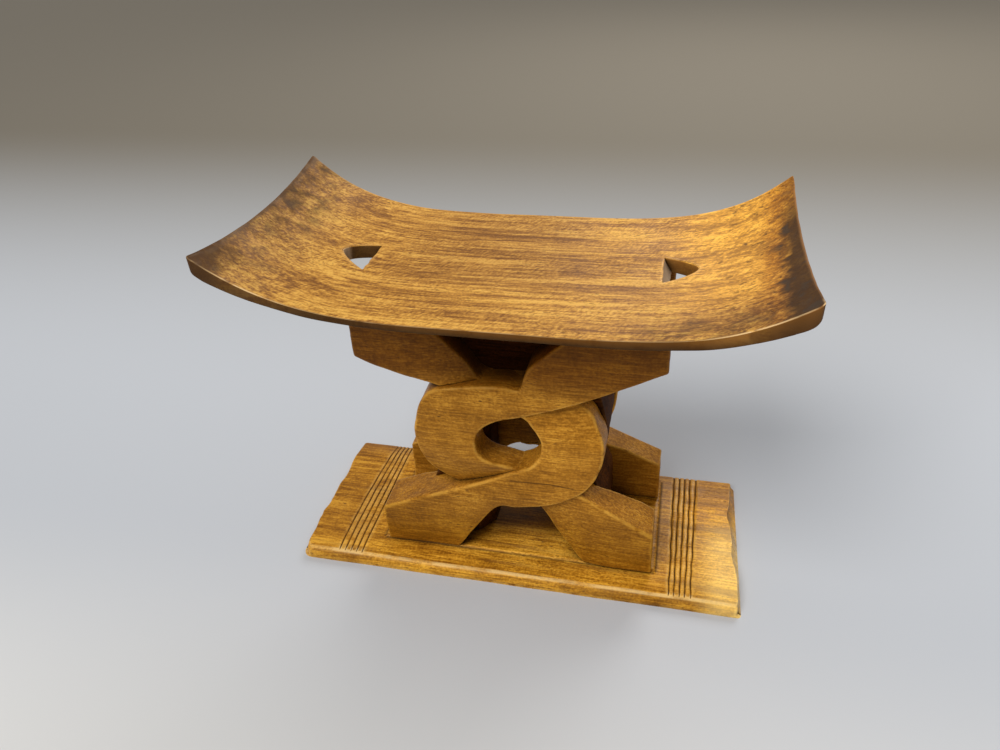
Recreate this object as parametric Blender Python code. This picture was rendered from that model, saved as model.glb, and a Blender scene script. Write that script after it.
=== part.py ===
"""Ashanti stool, carved from one billet and divided here along the carver's own lines.

Metres, +Z up, +X along the seat, -Y towards the front knot. The origin is the middle of the
base's underside. Run it with blender --background --python part.py, or from the text editor.
"""
import math

import bmesh
import bpy

# Overall sizes
seat_length = 0.5136
seat_depth = 0.2497
seat_height = 0.3466
base_length = 0.5000
base_depth = 0.2000
base_thickness = 0.0150
joint_gap = 0.0003

# Seat slab
seat_left_rise = 0.0581
seat_right_rise = 0.0511
seat_middle_thickness = 0.0140
seat_rim_thickness = 0.0076
seat_end_thickness = 0.0190
seat_end_hollow = 0.0010
seat_corner_flare = 0.0059
seat_middle_dish = 0.0030
seat_middle_lean = 0.0012
seat_end_dish = 0.0115
seat_end_roll = 0.0110
seat_rim_roll = 0.0030
seat_edge_round = 0.0016
seat_left_power_share = 4.0
seat_right_power_share = 4.45
seat_thick_power_share = 5.0
seat_rim_power_share = 2.4
seat_rim_growth_share = 0.25

# Hand holes through the seat
left_hole_start = 0.1440
left_hole_reach = 0.0305
left_hole_width = 0.0530
left_hole_shift = -0.0020
left_hole_peak_share = 0.10
left_hole_power_shares = (1.4, 2.3)
right_hole_start = 0.1400
right_hole_reach = 0.0310
right_hole_width = 0.0500
right_hole_shift = 0.0105
right_hole_peak_share = 0.0
right_hole_power_shares = (1.7, 1.7)

# Base slab
platform_rise = 0.0020
platform_side_ledge = 0.0070
platform_front_ledge = 0.0345
platform_rear_ledge = 0.0150
platform_step = 0.0015
base_crown_width = 0.0330
base_crown_drop = 0.0032
base_front_roll = 0.0090
base_rear_roll = 0.0060
base_end_roll = 0.0020
base_end_zone = 0.0140
base_end_lean = 0.0035
base_end_skew = 0.0025
base_front_taper = 0.0030
base_end_wear = 0.0050
base_corner_radius = 0.0040
base_worn_corner_radius = 0.0120
groove_count = 5
left_groove_gap = 0.0180
left_groove_pitch = 0.0054
left_groove_fan = 0.0016
right_groove_gap = 0.0168
right_groove_pitch = 0.0057
right_groove_fan = 0.0009
groove_width = 0.0034
groove_depth = 0.0013

# Knots
knot_shift_x = 0.0020
knot_shift_y = -0.0015
knot_half_span = 0.1500
knot_front_ledge = 0.0289
knot_rear_ledge = 0.0165
core_ledge = 0.0638
band_edge_round = 0.0028
band_crown = 0.0014
left_leg_splay = 0.0160
right_leg_splay = 0.0040
front_foot_depth = 0.0455
rear_leg_depth = 0.0315
rear_right_foot_extra = 0.0032
cut_overrun_share = 0.1

# Core walls and the lintel that closes their top, between the knots
core_side_ledge = 0.0515
core_waist = 0.0125
shaft_half_width = 0.0320
shaft_corner_width = 0.0155
shaft_corner_depth_share = 0.594
lintel_start_share = 0.62

# Share of the knot's depth that the band in front keeps where two bands cross
crossing_share = 0.5

# Places across the worn ends of the base's top, from front to back as shares of its half depth,
# with how far the edge is worn back there as a share of the wear.
left_end_wear_shares = [
    (-1.00, 0.30), (-0.72, 0.45), (-0.47, 0.00), (-0.20, 0.50), (0.03, 0.20), (0.32, 0.55),
    (0.58, 0.10), (0.80, 0.35), (1.00, 0.60),
]
right_end_wear_shares = [
    (-1.00, 0.10), (-0.72, 0.05), (-0.47, 0.15), (-0.36, 0.75), (-0.20, 1.00), (-0.04, 0.70),
    (0.18, 1.00), (0.38, 1.55), (0.58, 1.00), (0.80, 0.70), (1.00, 0.40),
]

# Ribs of a band: x and height of the rib's end on the loop's outside, then of its end beside the
# eye, as shares of the knot's half span and height, then how far each end is sunk behind the
# knot's face, as a share of the knot's depth.
left_loop_rib_shares = [
    (0.997, 1.057, 1.005, 0.811, 0.00, 0.00),
    (0.533, 1.010, 0.653, 0.722, 0.00, 0.00),
    (0.167, 0.813, 0.373, 0.660, 0.00, 0.00),
    (0.117, 0.758, 0.220, 0.632, 0.00, 0.00),
    (0.087, 0.712, 0.080, 0.609, 0.00, 0.00),
    (-0.040, 0.716, -0.060, 0.588, 0.00, 0.00),
    (-0.300, 0.702, -0.170, 0.556, 0.00, 0.00),
    (-0.533, 0.672, -0.223, 0.516, 0.00, 0.00),
    (-0.640, 0.570, -0.231, 0.483, 0.00, 0.00),
    (-0.660, 0.473, -0.217, 0.449, 0.03, 0.00),
    (-0.590, 0.369, -0.147, 0.422, 0.18, 0.00),
    (-0.400, 0.288, 0.000, 0.405, 0.40, 0.05),
    (-0.133, 0.256, 0.233, 0.374, 0.45, 0.18),
    (0.160, 0.230, 0.527, 0.300, 0.40, 0.12),
    (0.353, 0.112, 0.700, 0.258, 0.22, 0.06),
    (0.600, -0.027, 0.900, 0.206, 0.15, 0.03),
    (1.015, -0.039, 1.003, 0.179, 0.15, 0.03),
]
right_loop_rib_shares = [
    (-1.005, -0.039, -0.995, 0.166, 0.15, 0.00),
    (-0.533, -0.033, -0.733, 0.223, 0.15, 0.00),
    (-0.307, 0.104, -0.433, 0.285, 0.06, 0.00),
    (-0.110, 0.228, -0.153, 0.347, 0.00, 0.00),
    (0.053, 0.240, 0.013, 0.389, 0.00, 0.00),
    (0.300, 0.270, 0.133, 0.416, 0.00, 0.00),
    (0.520, 0.341, 0.200, 0.454, 0.00, 0.00),
    (0.617, 0.432, 0.222, 0.492, 0.00, 0.00),
    (0.645, 0.512, 0.219, 0.529, 0.00, 0.00),
    (0.600, 0.576, 0.165, 0.574, 0.22, 0.00),
    (0.505, 0.640, 0.085, 0.609, 0.40, 0.05),
    (0.200, 0.722, -0.173, 0.645, 0.45, 0.15),
    (-0.150, 0.722, -0.499, 0.695, 0.42, 0.13),
    (-0.262, 0.790, -0.700, 0.724, 0.33, 0.07),
    (-0.580, 0.950, -0.867, 0.751, 0.12, 0.02),
    (-0.995, 1.072, -1.005, 0.780, 0.00, 0.00),
]
ribs_between = 3

# First and last rib of the stretches where the bands cross
left_loop_over_ribs = (1, 7)
left_loop_under_ribs = (10, 15)
right_loop_over_ribs = (2, 8)
right_loop_under_ribs = (8, 14)

base_half = base_length / 2
platform_half_length = knot_half_span + platform_side_ledge
left_groove_start = platform_half_length + left_groove_gap
right_groove_start = platform_half_length + right_groove_gap
core_half_width = knot_half_span - core_side_ledge
platform_front = base_depth / 2 - platform_front_ledge
platform_rear = base_depth / 2 - platform_rear_ledge
front_face = base_depth / 2 - knot_front_ledge
rear_face = base_depth / 2 - knot_rear_ledge
core_half_depth = base_depth / 2 - core_ledge
shaft_corner_depth = core_half_depth * shaft_corner_depth_share
knot_floor = base_thickness + platform_rise
knot_height = seat_height - base_thickness
cut_overrun = knot_height * cut_overrun_share


def clear_scene():
    """Remove every object, mesh and curve that the file starts with."""
    for item in list(bpy.data.objects):
        bpy.data.objects.remove(item, do_unlink=True)
    for mesh in list(bpy.data.meshes):
        bpy.data.meshes.remove(mesh)


def new_collection(name):
    """Return a new collection that is linked to the scene."""
    collection = bpy.data.collections.new(name)
    bpy.context.scene.collection.children.link(collection)
    return collection


def wood(name, colour, roughness):
    """Return a plain wood material."""
    material = bpy.data.materials.new(name)
    material.use_nodes = True
    shader = material.node_tree.nodes["Principled BSDF"]
    shader.inputs["Base Color"].default_value = (*colour, 1.0)
    shader.inputs["Roughness"].default_value = roughness
    shader.inputs["Metallic"].default_value = 0.0
    return material


def roll(distance, radius):
    """Return how far a quarter round of this radius lies below its face, this far from its edge."""
    inside = max(0.0, radius - distance)
    return radius - math.sqrt(radius * radius - inside * inside)


def edge_places(length, radius, steps, middle):
    """Return places from 0 to length, close together within the radius of both ends."""
    near = [radius * (1 - math.cos(math.pi / 2 * step / steps)) for step in range(steps + 1)]
    inner = length - 2 * radius
    between = [radius + inner * step / middle for step in range(1, middle)]
    return near + between + [length - place for place in reversed(near)]


def slab(name, collection, tops, bottoms, flat_ends=False):
    """Build a closed solid from two equal grids of points that face each other."""
    rows = len(tops)
    columns = len(tops[0])
    mesh = bmesh.new()
    upper = [[mesh.verts.new(point) for point in row] for row in tops]
    lower = [[mesh.verts.new(point) for point in row] for row in bottoms]
    for row in range(rows - 1):
        for column in range(columns - 1):
            mesh.faces.new((upper[row][column], upper[row][column + 1],
                            upper[row + 1][column + 1], upper[row + 1][column]))
            mesh.faces.new((lower[row][column], lower[row + 1][column],
                            lower[row + 1][column + 1], lower[row][column + 1]))
        for column in (0, -1):
            mesh.faces.new((upper[row][column], upper[row + 1][column],
                            lower[row + 1][column], lower[row][column]))
    for row in (0, -1):
        if flat_ends:
            mesh.faces.new(upper[row] + lower[row][::-1])
            continue
        for column in range(columns - 1):
            mesh.faces.new((upper[row][column], upper[row][column + 1],
                            lower[row][column + 1], lower[row][column]))
    bmesh.ops.recalc_face_normals(mesh, faces=mesh.faces)
    if mesh.calc_volume(signed=True) < 0:
        bmesh.ops.reverse_faces(mesh, faces=mesh.faces)
    bmesh.ops.dissolve_limit(mesh, angle_limit=math.radians(0.01), edges=mesh.edges)
    data = bpy.data.meshes.new(name)
    mesh.to_mesh(data)
    mesh.free()
    item = bpy.data.objects.new(name, data)
    collection.objects.link(item)
    return item


def finish(item, material, sharp_angle):
    """Give a piece its material and its smooth shading."""
    item.data.materials.append(material)
    item.data.shade_smooth()
    item.data.set_sharp_from_angle(angle=math.radians(sharp_angle))


def make_cutter(item):
    """Mark an object as a cutter, which isn't part of the stool."""
    item.hide_render = True
    item.display_type = "WIRE"
    return item


def cut(item, cutter):
    """Cut one object out of another."""
    modifier = item.modifiers.new("cut_" + cutter.name, "BOOLEAN")
    modifier.operation = "DIFFERENCE"
    modifier.solver = "EXACT"
    modifier.object = cutter


def seat_top(x, across):
    """Return the height of the seat's top, where across runs from -1 to 1 over the seat's depth."""
    along = min(1.0, abs(x) / (seat_length / 2))
    if x < 0:
        rise = seat_left_rise * along ** seat_left_power_share
    else:
        rise = seat_right_rise * along ** seat_right_power_share
    dish = seat_middle_dish + (seat_end_dish - seat_middle_dish) * along ** 3
    lean = seat_middle_lean * (1 - along * along)
    return seat_height + rise - dish * (1 - across * across) - lean * across


def seat_thickness(x, across):
    """Return the upright thickness of the seat, thin at its rims and thick at its ends."""
    along = min(1.0, abs(x) / (seat_length / 2))
    ends = along ** seat_thick_power_share
    middle = seat_middle_thickness + (seat_end_thickness - seat_middle_thickness) * ends
    side = 1 + seat_rim_growth_share * x / (seat_length / 2)
    rim = seat_rim_thickness * side * (1 - ends) + seat_end_thickness * ends
    return rim + (middle - rim) * (1 - abs(across) ** seat_rim_power_share)


def seat_grids(drop, rise, steps_along, steps_across):
    """Return the seat's top and underside as grids, the underside lowered and the top raised."""
    length_places = edge_places(seat_length, seat_end_roll, 4, steps_along)
    depth_places = edge_places(seat_depth, seat_rim_roll, 3, steps_across)
    tops = []
    bottoms = []
    for along in length_places:
        share = 2 * along / seat_length - 1
        end = min(along, seat_length - along)
        top_row = []
        bottom_row = []
        for place in depth_places:
            across = 2 * place / seat_depth - 1
            rim = min(place, seat_depth - place)
            half = seat_length / 2 - seat_end_hollow * (1 - across * across)
            x = share * half
            y = across * (seat_depth / 2 + seat_corner_flare * share ** 6)
            top = seat_top(x, across)
            thickness = seat_thickness(x, across)
            lift = (roll(end, seat_end_roll) + roll(rim, seat_rim_roll)) / 2
            ease = (roll(end, seat_edge_round) + roll(rim, seat_edge_round)) / 2
            top_row.append((x, y, top + rise - ease))
            bottom_row.append((x, y, top - thickness - drop + min(lift, thickness / 2)))
        tops.append(top_row)
        bottoms.append(bottom_row)
    return tops, bottoms


def hole_reach(across, reach, peak_share, power_shares):
    """Return how far a hand hole reaches past its straight side, across from -1 to 1."""
    if across > peak_share:
        away = (across - peak_share) / (1 - peak_share)
        return reach * (1 - away ** power_shares[1])
    away = (peak_share - across) / (1 + peak_share)
    return reach * (1 - away ** power_shares[0])


def hole_cutter(name, collection, side, start, width, shift, outline):
    """Return the upright prism of one hand hole: straight inner side, rounded outer apex."""
    curve = bpy.data.curves.new(name, "CURVE")
    curve.dimensions = "2D"
    curve.fill_mode = "BOTH"
    curve.extrude = seat_left_rise
    steps = 14
    spline = curve.splines.new("POLY")
    spline.points.add(steps)
    for step in range(steps + 1):
        across = 2 * step / steps - 1
        x = side * (start + hole_reach(across, *outline))
        y = shift + across * width / 2
        spline.points[step].co = (x, y, 0, 1)
    spline.use_cyclic_u = True
    guide = bpy.data.objects.new(name + "_outline", curve)
    guide.location = (0, 0, seat_height)
    collection.objects.link(guide)
    bpy.context.view_layer.update()
    evaluated = guide.evaluated_get(bpy.context.evaluated_depsgraph_get())
    data = bpy.data.meshes.new_from_object(evaluated)
    solid = bmesh.new()
    solid.from_mesh(data)
    bmesh.ops.remove_doubles(solid, verts=solid.verts, dist=joint_gap / 10)
    bmesh.ops.recalc_face_normals(solid, faces=solid.faces)
    solid.to_mesh(data)
    solid.free()
    prism = bpy.data.objects.new(name, data)
    prism.matrix_world = guide.matrix_world.copy()
    collection.objects.link(prism)
    bpy.data.objects.remove(guide, do_unlink=True)
    return make_cutter(prism)


def worn_back(across, shares):
    """Return how far the base's top edge is worn back here, eased from place to place."""
    for (start, first), (end, second) in zip(shares, shares[1:]):
        if across <= end:
            part = (across - start) / (end - start)
            eased = (1 - math.cos(math.pi * part)) / 2
            return base_end_wear * (first + (second - first) * eased)
    return base_end_wear * shares[-1][1]


def groove_centres(y):
    """Return how far out each groove lies at this depth: on the left, then on the right."""
    across = y / (base_depth / 2)
    bow = 1 - (across + 0.55) ** 2 / 2
    left_pitch = left_groove_pitch + left_groove_fan * bow
    right_pitch = right_groove_pitch + right_groove_fan * (across + 1) / 2
    left = [left_groove_start + number * left_pitch for number in range(groove_count)]
    right = [right_groove_start + number * right_pitch for number in range(groove_count)]
    return left, right


def base_x_places(y, flat):
    """Return the places along the base where its shape changes, at this depth."""
    ends = [base_end_zone * (1 - math.cos(math.pi / 2 * step / 4)) for step in range(5)]
    inner = []
    for side, centres in zip((-1, 1), groove_centres(0 if flat else y)):
        inner += [side * (base_half - end) for end in ends]
        for centre in centres:
            inner += [side * (centre + shift) for shift in (-groove_width / 2, 0, groove_width / 2)]
        for inset in (0, platform_step):
            inner.append(knot_shift_x + side * (platform_half_length - inset))
    inner.append(knot_shift_x)
    return sorted(inner)


def base_y_places():
    """Return the places across the base where its shape changes."""
    places = [base_front_roll * (1 - math.cos(math.pi / 2 * step / 4)) for step in range(5)]
    inner = [place - base_depth / 2 for place in places]
    places = [base_rear_roll * (1 - math.cos(math.pi / 2 * step / 3)) for step in range(4)]
    inner += [base_depth / 2 - place for place in places]
    front = knot_shift_y - platform_front
    rear = knot_shift_y + platform_rear
    inner += [front, front + platform_step, rear - platform_step, rear]
    inner += [share * base_depth / 2 for share, _ in right_end_wear_shares[1:-1]]
    return sorted(inner)


def base_top(x, y):
    """Return the height of the base's top: crowned rims, a platform, and grooves near the ends."""
    rim = max(0.0, abs(y) - (base_depth / 2 - base_crown_width)) / base_crown_width
    height = base_thickness - base_crown_drop * rim * rim
    inside_x = platform_half_length - abs(x - knot_shift_x)
    inside_y = min(y - knot_shift_y + platform_front, platform_rear - y + knot_shift_y)
    step = max(0.0, min(1.0, min(inside_x, inside_y) / platform_step))
    height += platform_rise * step
    for centre in groove_centres(y)[0 if x < 0 else 1]:
        slope = max(0.0, 1 - abs(abs(x) - centre) / (groove_width / 2))
        height -= groove_depth * slope
    return height


def base_grids():
    """Return the base's top and underside as grids."""
    half = base_depth / 2
    tops = []
    bottoms = []
    for index, flat_x in enumerate(base_x_places(0, True)):
        end = max(0.0, base_half - abs(flat_x))
        left = flat_x < 0
        front_inset = roll(end, base_worn_corner_radius if left else base_corner_radius)
        rear_inset = roll(end, base_corner_radius)
        wear_shares = left_end_wear_shares if left else right_end_wear_shares
        zone = max(0.0, 1 - end / base_end_zone)
        taper = base_front_taper * (1 + flat_x / base_half) / 2
        top_row = []
        bottom_row = []
        for place in base_y_places():
            across = place / half
            if place < 0:
                y = place + (front_inset + taper) * -across
                rim_roll = base_front_roll
            else:
                y = place - rear_inset * across
                rim_roll = base_rear_roll
            skew = 0 if left else base_end_skew * zone * (1 + across) / 2
            worn = zone * (base_end_lean + worn_back(across, wear_shares))
            x = base_x_places(place, False)[index]
            ease = roll(half - abs(place), rim_roll) + roll(end, base_end_roll)
            height = max(base_top(x, place) - ease, base_thickness / 6)
            top_row.append((x - skew + (worn if left else -worn), y, height))
            bottom_row.append((flat_x - skew, y, 0))
        tops.append(top_row)
        bottoms.append(bottom_row)
    return tops, bottoms


def smooth_ribs(rows, steps):
    """Return ribs on smooth curves through the given ones, with steps from each to the next."""
    padded = [rows[0], *rows, rows[-1]]
    ribs = []
    for index in range(1, len(padded) - 2):
        before, here, after, beyond = padded[index - 1:index + 3]
        for step in range(steps):
            t = step / steps
            rib = []
            for a, b, c, d in zip(before, here, after, beyond):
                rib.append(b + 0.5 * t * (c - a + t * (2 * a - 5 * b + 4 * c - d
                                                       + t * (3 * b - a - 3 * c + d))))
            ribs.append(tuple(rib))
    ribs.append(rows[-1])
    return ribs


def leg_weight(position, last, wanted):
    """Return 1 on the ribs of an end of the band, falling to 0 within the next rib and a half."""
    from_end = position if wanted == "first" else last - position
    return max(0.0, min(1.0, (2.5 - from_end) / 1.5))


def rib_places(rows):
    """Return each smoothed rib's number, its two ends in metres, its width and its two sinks."""
    places = []
    for index, rib in enumerate(smooth_ribs(rows, ribs_between)):
        outer_x, outer_z, inner_x, inner_z, outer_sink, inner_sink = rib
        outer = (outer_x * knot_half_span, base_thickness + outer_z * knot_height)
        inner = (inner_x * knot_half_span, base_thickness + inner_z * knot_height)
        width = math.dist(outer, inner)
        places.append((index / ribs_between, outer, inner, width, outer_sink, inner_sink))
    return places


def on_rib(outer, inner, share):
    """Return the point this share of the way from a rib's outer end to its inner end."""
    return (outer[0] + (inner[0] - outer[0]) * share, outer[1] + (inner[1] - outer[1]) * share)


def rib_back(position, last, depth, leg_depths, leg):
    """Return how deep a band reaches at a rib, and how far its leg splays there."""
    first = leg_weight(position, last, "first")
    final = leg_weight(position, last, "last")
    reach = depth + (leg_depths[0] - depth) * first + (leg_depths[1] - depth) * final
    if leg == "first":
        return reach, left_leg_splay * first
    return reach, right_leg_splay * final


def place_band(rows, face, side):
    """Turn points whose middle value is a depth behind the knot's face into places on the stool."""
    return [[(knot_shift_x + side * x, knot_shift_y - side * (face - depth), z)
             for x, depth, z in row] for row in rows]


def band(name, collection, rows, face, side, leg_depths, leg):
    """Build one whole band of a knot, front with side 1 or behind with side -1."""
    depth = face - core_half_depth
    fronts = []
    backs = []
    for position, outer, inner, width, outer_sink, inner_sink in rib_places(rows):
        reach, splay = rib_back(position, len(rows) - 1, depth, leg_depths, leg)
        front_row = []
        back_row = []
        for place in edge_places(width, band_edge_round, 3, 3):
            share = place / width
            edge = min(place, width - place)
            sink = (outer_sink + (inner_sink - outer_sink) * share) * depth
            crown = band_crown * (1 - 4 * share * (1 - share))
            x, z = on_rib(outer, inner, share)
            front_row.append((x, sink + crown + roll(edge, band_edge_round), z))
            x, z = on_rib(outer, inner, share - splay / width * (1 - share))
            back_row.append((x, reach, z))
        fronts.append(front_row)
        backs.append(back_row)
    return slab(name, collection, place_band(fronts, face, side), place_band(backs, face, side),
                flat_ends=True)


def crossing_cutter(name, collection, rows, ribs_used, face, side, from_depth, to_depth):
    """Return a flat-sided block over a stretch of a band, wider than the band by the gap."""
    fronts = []
    backs = []
    first, last = (rib * ribs_between for rib in ribs_used)
    for _, outer, inner, width, _, _ in rib_places(rows)[first:last + 1]:
        ends = [on_rib(outer, inner, share) for share in (-joint_gap / width, 1 + joint_gap / width)]
        fronts.append([(x, from_depth, z) for x, z in ends])
        backs.append([(x, to_depth, z) for x, z in ends])
    item = slab(name, collection, place_band(fronts, face, side), place_band(backs, face, side),
                flat_ends=True)
    return make_cutter(item)


def foot_cutter(name, collection, rows, leg_depths, leg):
    """Return a front foot grown by the gap, to cut its place out of a core wall."""
    depth = front_face - core_half_depth
    fronts = []
    backs = []
    count = 3 * ribs_between + 1
    places = rib_places(rows)
    for position, outer, inner, width, _, _ in places[:count] if leg == "first" else places[-count:]:
        reach, splay = rib_back(position, len(rows) - 1, depth, leg_depths, leg)
        shares = (-(splay + joint_gap) / width, 1 + joint_gap / width)
        ends = [on_rib(outer, inner, share) for share in shares]
        fronts.append([(x, 0, z) for x, z in ends])
        backs.append([(x, reach + joint_gap, z) for x, z in ends])
    item = slab(name, collection, place_band(fronts, front_face, 1),
                place_band(backs, front_face, 1), flat_ends=True)
    return make_cutter(item)


def longer_first_rib(rows, extra):
    """Return the ribs with the first one moved out along the stool."""
    shift = extra / knot_half_span
    outer_x, outer_z, inner_x, inner_z, outer_sink, inner_sink = rows[0]
    moved = (outer_x - shift, outer_z, inner_x - shift, inner_z, outer_sink, inner_sink)
    return [moved, *rows[1:]]


def knot(names, stool, cutters, face, side, left_rows, right_rows, left_depths, right_depths,
         material):
    """Build the two bands of one knot, each halved where it crosses the other."""
    depth = face - core_half_depth
    crossing = crossing_share * depth
    left = band(names[0], stool, left_rows, face, side, left_depths, "last")
    right = band(names[1], stool, right_rows, face, side, right_depths, "first")
    front = -cut_overrun
    back = depth + cut_overrun
    behind = crossing + joint_gap
    cuts = [
        (right, left_rows, left_loop_over_ribs, front, behind),
        (left, right_rows, right_loop_under_ribs, crossing, back),
        (left, right_rows, right_loop_over_ribs, front, behind),
        (right, left_rows, left_loop_under_ribs, crossing, back),
    ]
    for number, (item, rows, ribs_used, start, end) in enumerate(cuts):
        name = item.name + "_crossing_cutter_" + str(number + 1)
        cut(item, crossing_cutter(name, cutters, rows, ribs_used, face, side, start, end))
    for item in (left, right):
        finish(item, material, 40)
    return left, right


def core_profile():
    """Return heights up a core wall with how far the wall stands out at each."""
    shares = [
        (-0.03, 0.0), (0.20, 0.0), (0.25, 0.35), (0.31, 1.0), (0.37, 0.75), (0.44, 0.3),
        (0.50, 0.15), (0.56, 0.3), (0.63, 0.75), (0.69, 1.0), (0.75, 0.35), (0.80, 0.0),
        (1.02, 0.0),
    ]
    return [(base_thickness + height * knot_height, core_half_width - core_waist * waist)
            for height, waist in shares]


def core_wall(name, collection, side, material):
    """Build one wall of the core: splayed at both ends towards the shaft, waisted outside."""
    half = core_half_depth - joint_gap
    outsides = []
    insides = []
    for z, width in core_profile():
        outside_row = []
        inside_row = []
        for y in (-half, shaft_corner_depth - half, half - shaft_corner_depth, half):
            splay = shaft_corner_width if abs(y) == half else 0
            outside_row.append((knot_shift_x + side * width, knot_shift_y + y, z))
            inside_row.append((knot_shift_x + side * (shaft_half_width + splay),
                               knot_shift_y + y, z))
        outsides.append(outside_row)
        insides.append(inside_row)
    item = slab(name, collection, outsides, insides)
    finish(item, material, 30)
    return item


def core_lintel(name, collection, material):
    """Build the block between the core walls that closes the top of the shaft."""
    half = core_half_depth - joint_gap
    bottom = base_thickness + lintel_start_share * knot_height
    tops = []
    bottoms = []
    for y in (-half, shaft_corner_depth - half, half - shaft_corner_depth, half):
        splay = shaft_corner_width if abs(y) == half else 0
        width = shaft_half_width + splay - joint_gap
        ends = [(knot_shift_x + x, knot_shift_y + y) for x in (-width, width)]
        tops.append([(*end, seat_height) for end in ends])
        bottoms.append([(*end, bottom) for end in ends])
    item = slab(name, collection, tops, bottoms)
    finish(item, material, 30)
    return item


def build():
    """Build the stool."""
    clear_scene()
    stool = new_collection("ashanti_stool")
    cutters = new_collection("cutters")
    seat_wood = wood("seat_wood", (0.42, 0.22, 0.075), 0.42)
    base_wood = wood("base_wood", (0.40, 0.20, 0.06), 0.38)
    knot_wood = wood("knot_wood", (0.30, 0.145, 0.045), 0.45)
    core_wood = wood("core_wood", (0.16, 0.07, 0.025), 0.60)

    seat = slab("seat", stool, *seat_grids(0, 0, 26, 8))
    cut(seat, hole_cutter("left_hole_cutter", cutters, -1, left_hole_start, left_hole_width,
                          left_hole_shift,
                          (left_hole_reach, left_hole_peak_share, left_hole_power_shares)))
    cut(seat, hole_cutter("right_hole_cutter", cutters, 1, right_hole_start, right_hole_width,
                          right_hole_shift,
                          (right_hole_reach, right_hole_peak_share, right_hole_power_shares)))
    finish(seat, seat_wood, 35)
    base = slab("base", stool, *base_grids())
    finish(base, base_wood, 25)

    seat_cutter = make_cutter(slab("seat_cutter", cutters,
                                   *seat_grids(joint_gap, cut_overrun, 26, 8)))
    floor_depth = knot_floor + cut_overrun
    floor_centre = (0, 0, knot_floor + joint_gap - floor_depth / 2)
    bpy.ops.mesh.primitive_cube_add(size=1, location=floor_centre)
    floor_cutter = bpy.context.active_object
    floor_cutter.name = "floor_cutter"
    floor_cutter.dimensions = (seat_length, seat_depth, floor_depth)
    bpy.context.view_layer.update()
    for collection in list(floor_cutter.users_collection):
        collection.objects.unlink(floor_cutter)
    cutters.objects.link(make_cutter(floor_cutter))

    depth = front_face - core_half_depth
    left_depths = (depth, front_foot_depth)
    right_depths = (front_foot_depth, depth)
    front = knot(("front_left_loop_band", "front_right_loop_band"), stool, cutters, front_face, 1,
                 left_loop_rib_shares, right_loop_rib_shares, left_depths, right_depths, knot_wood)
    walls = [core_wall("left_core_wall", stool, -1, core_wood),
             core_wall("right_core_wall", stool, 1, core_wood),
             core_lintel("core_lintel", stool, core_wood)]
    cut(walls[0], foot_cutter("left_foot_cutter", cutters, right_loop_rib_shares, right_depths,
                              "first"))
    cut(walls[1], foot_cutter("right_foot_cutter", cutters, left_loop_rib_shares, left_depths,
                              "last"))

    depth = rear_face - core_half_depth
    longer_rows = longer_first_rib(right_loop_rib_shares, rear_right_foot_extra)
    rear = knot(("rear_right_loop_band", "rear_left_loop_band"), stool, cutters, rear_face, -1,
                left_loop_rib_shares, longer_rows, (rear_leg_depth, depth),
                (rear_leg_depth, rear_leg_depth), knot_wood)
    for item in (*front, *rear, *walls):
        cut(item, seat_cutter)
        cut(item, floor_cutter)


build()
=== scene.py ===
"""Looks of the carved stool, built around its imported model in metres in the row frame.

Each piece replaces the solid of the same name, on the same lines but with finer, worn edges.
"""

import math

import bmesh
import bpy
import numpy as np
from mathutils import Matrix, Vector, noise


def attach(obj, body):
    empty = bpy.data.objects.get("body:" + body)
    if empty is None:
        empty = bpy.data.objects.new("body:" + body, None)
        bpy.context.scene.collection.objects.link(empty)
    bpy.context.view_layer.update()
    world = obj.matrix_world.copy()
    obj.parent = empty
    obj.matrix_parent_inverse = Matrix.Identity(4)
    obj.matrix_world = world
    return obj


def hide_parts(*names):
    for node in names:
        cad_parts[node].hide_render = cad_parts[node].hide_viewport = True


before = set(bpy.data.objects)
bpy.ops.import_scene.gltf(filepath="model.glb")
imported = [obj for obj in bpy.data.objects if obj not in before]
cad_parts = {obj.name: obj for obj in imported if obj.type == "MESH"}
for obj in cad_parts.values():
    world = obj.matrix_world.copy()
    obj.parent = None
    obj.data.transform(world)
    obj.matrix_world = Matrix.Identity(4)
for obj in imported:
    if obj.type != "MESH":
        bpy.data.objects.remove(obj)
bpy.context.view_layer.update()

# Overall sizes
seat_length = 0.5136
seat_depth = 0.2497
seat_height = 0.3466
base_length = 0.5000
base_depth = 0.2000
base_thickness = 0.0150
overlap = 0.0007

# Seat slab
seat_left_rise = 0.0581
seat_right_rise = 0.0511
seat_middle_thickness = 0.0140
seat_rim_thickness = 0.0076
seat_end_thickness = 0.0190
seat_end_hollow = 0.0010
seat_corner_flare = 0.0059
seat_middle_dish = 0.0030
seat_middle_lean = 0.0012
seat_end_dish = 0.0115
seat_end_roll = 0.0110
seat_rim_roll = 0.0030
seat_edge_round = 0.0016
seat_corner_radius = 0.0036
seat_end_ease = 0.0004
seat_left_power_share = 4.0
seat_right_power_share = 4.45
seat_thick_power_share = 5.0
seat_rim_power_share = 2.4
seat_rim_growth_share = 0.25
seat_dish_power_share = 3
seat_corner_power_share = 6
seat_least_gap = 0.0001

# Hand holes: side, start, reach, width, shift, peak share, power shares and how far the inner wall
# slopes between the seat's faces
left_hole = (-1, 0.1440, 0.0305, 0.0530, -0.0020, 0.10, (1.4, 2.3), 0.0010)
right_hole = (1, 0.1400, 0.0310, 0.0500, 0.0105, 0.0, (1.7, 1.7), 0.0070)
hole_rim = 0.0014
hole_overrun = 0.0120
hole_outer_steps = 40
hole_inner_steps = 14
hole_rim_steps = 5

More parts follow.
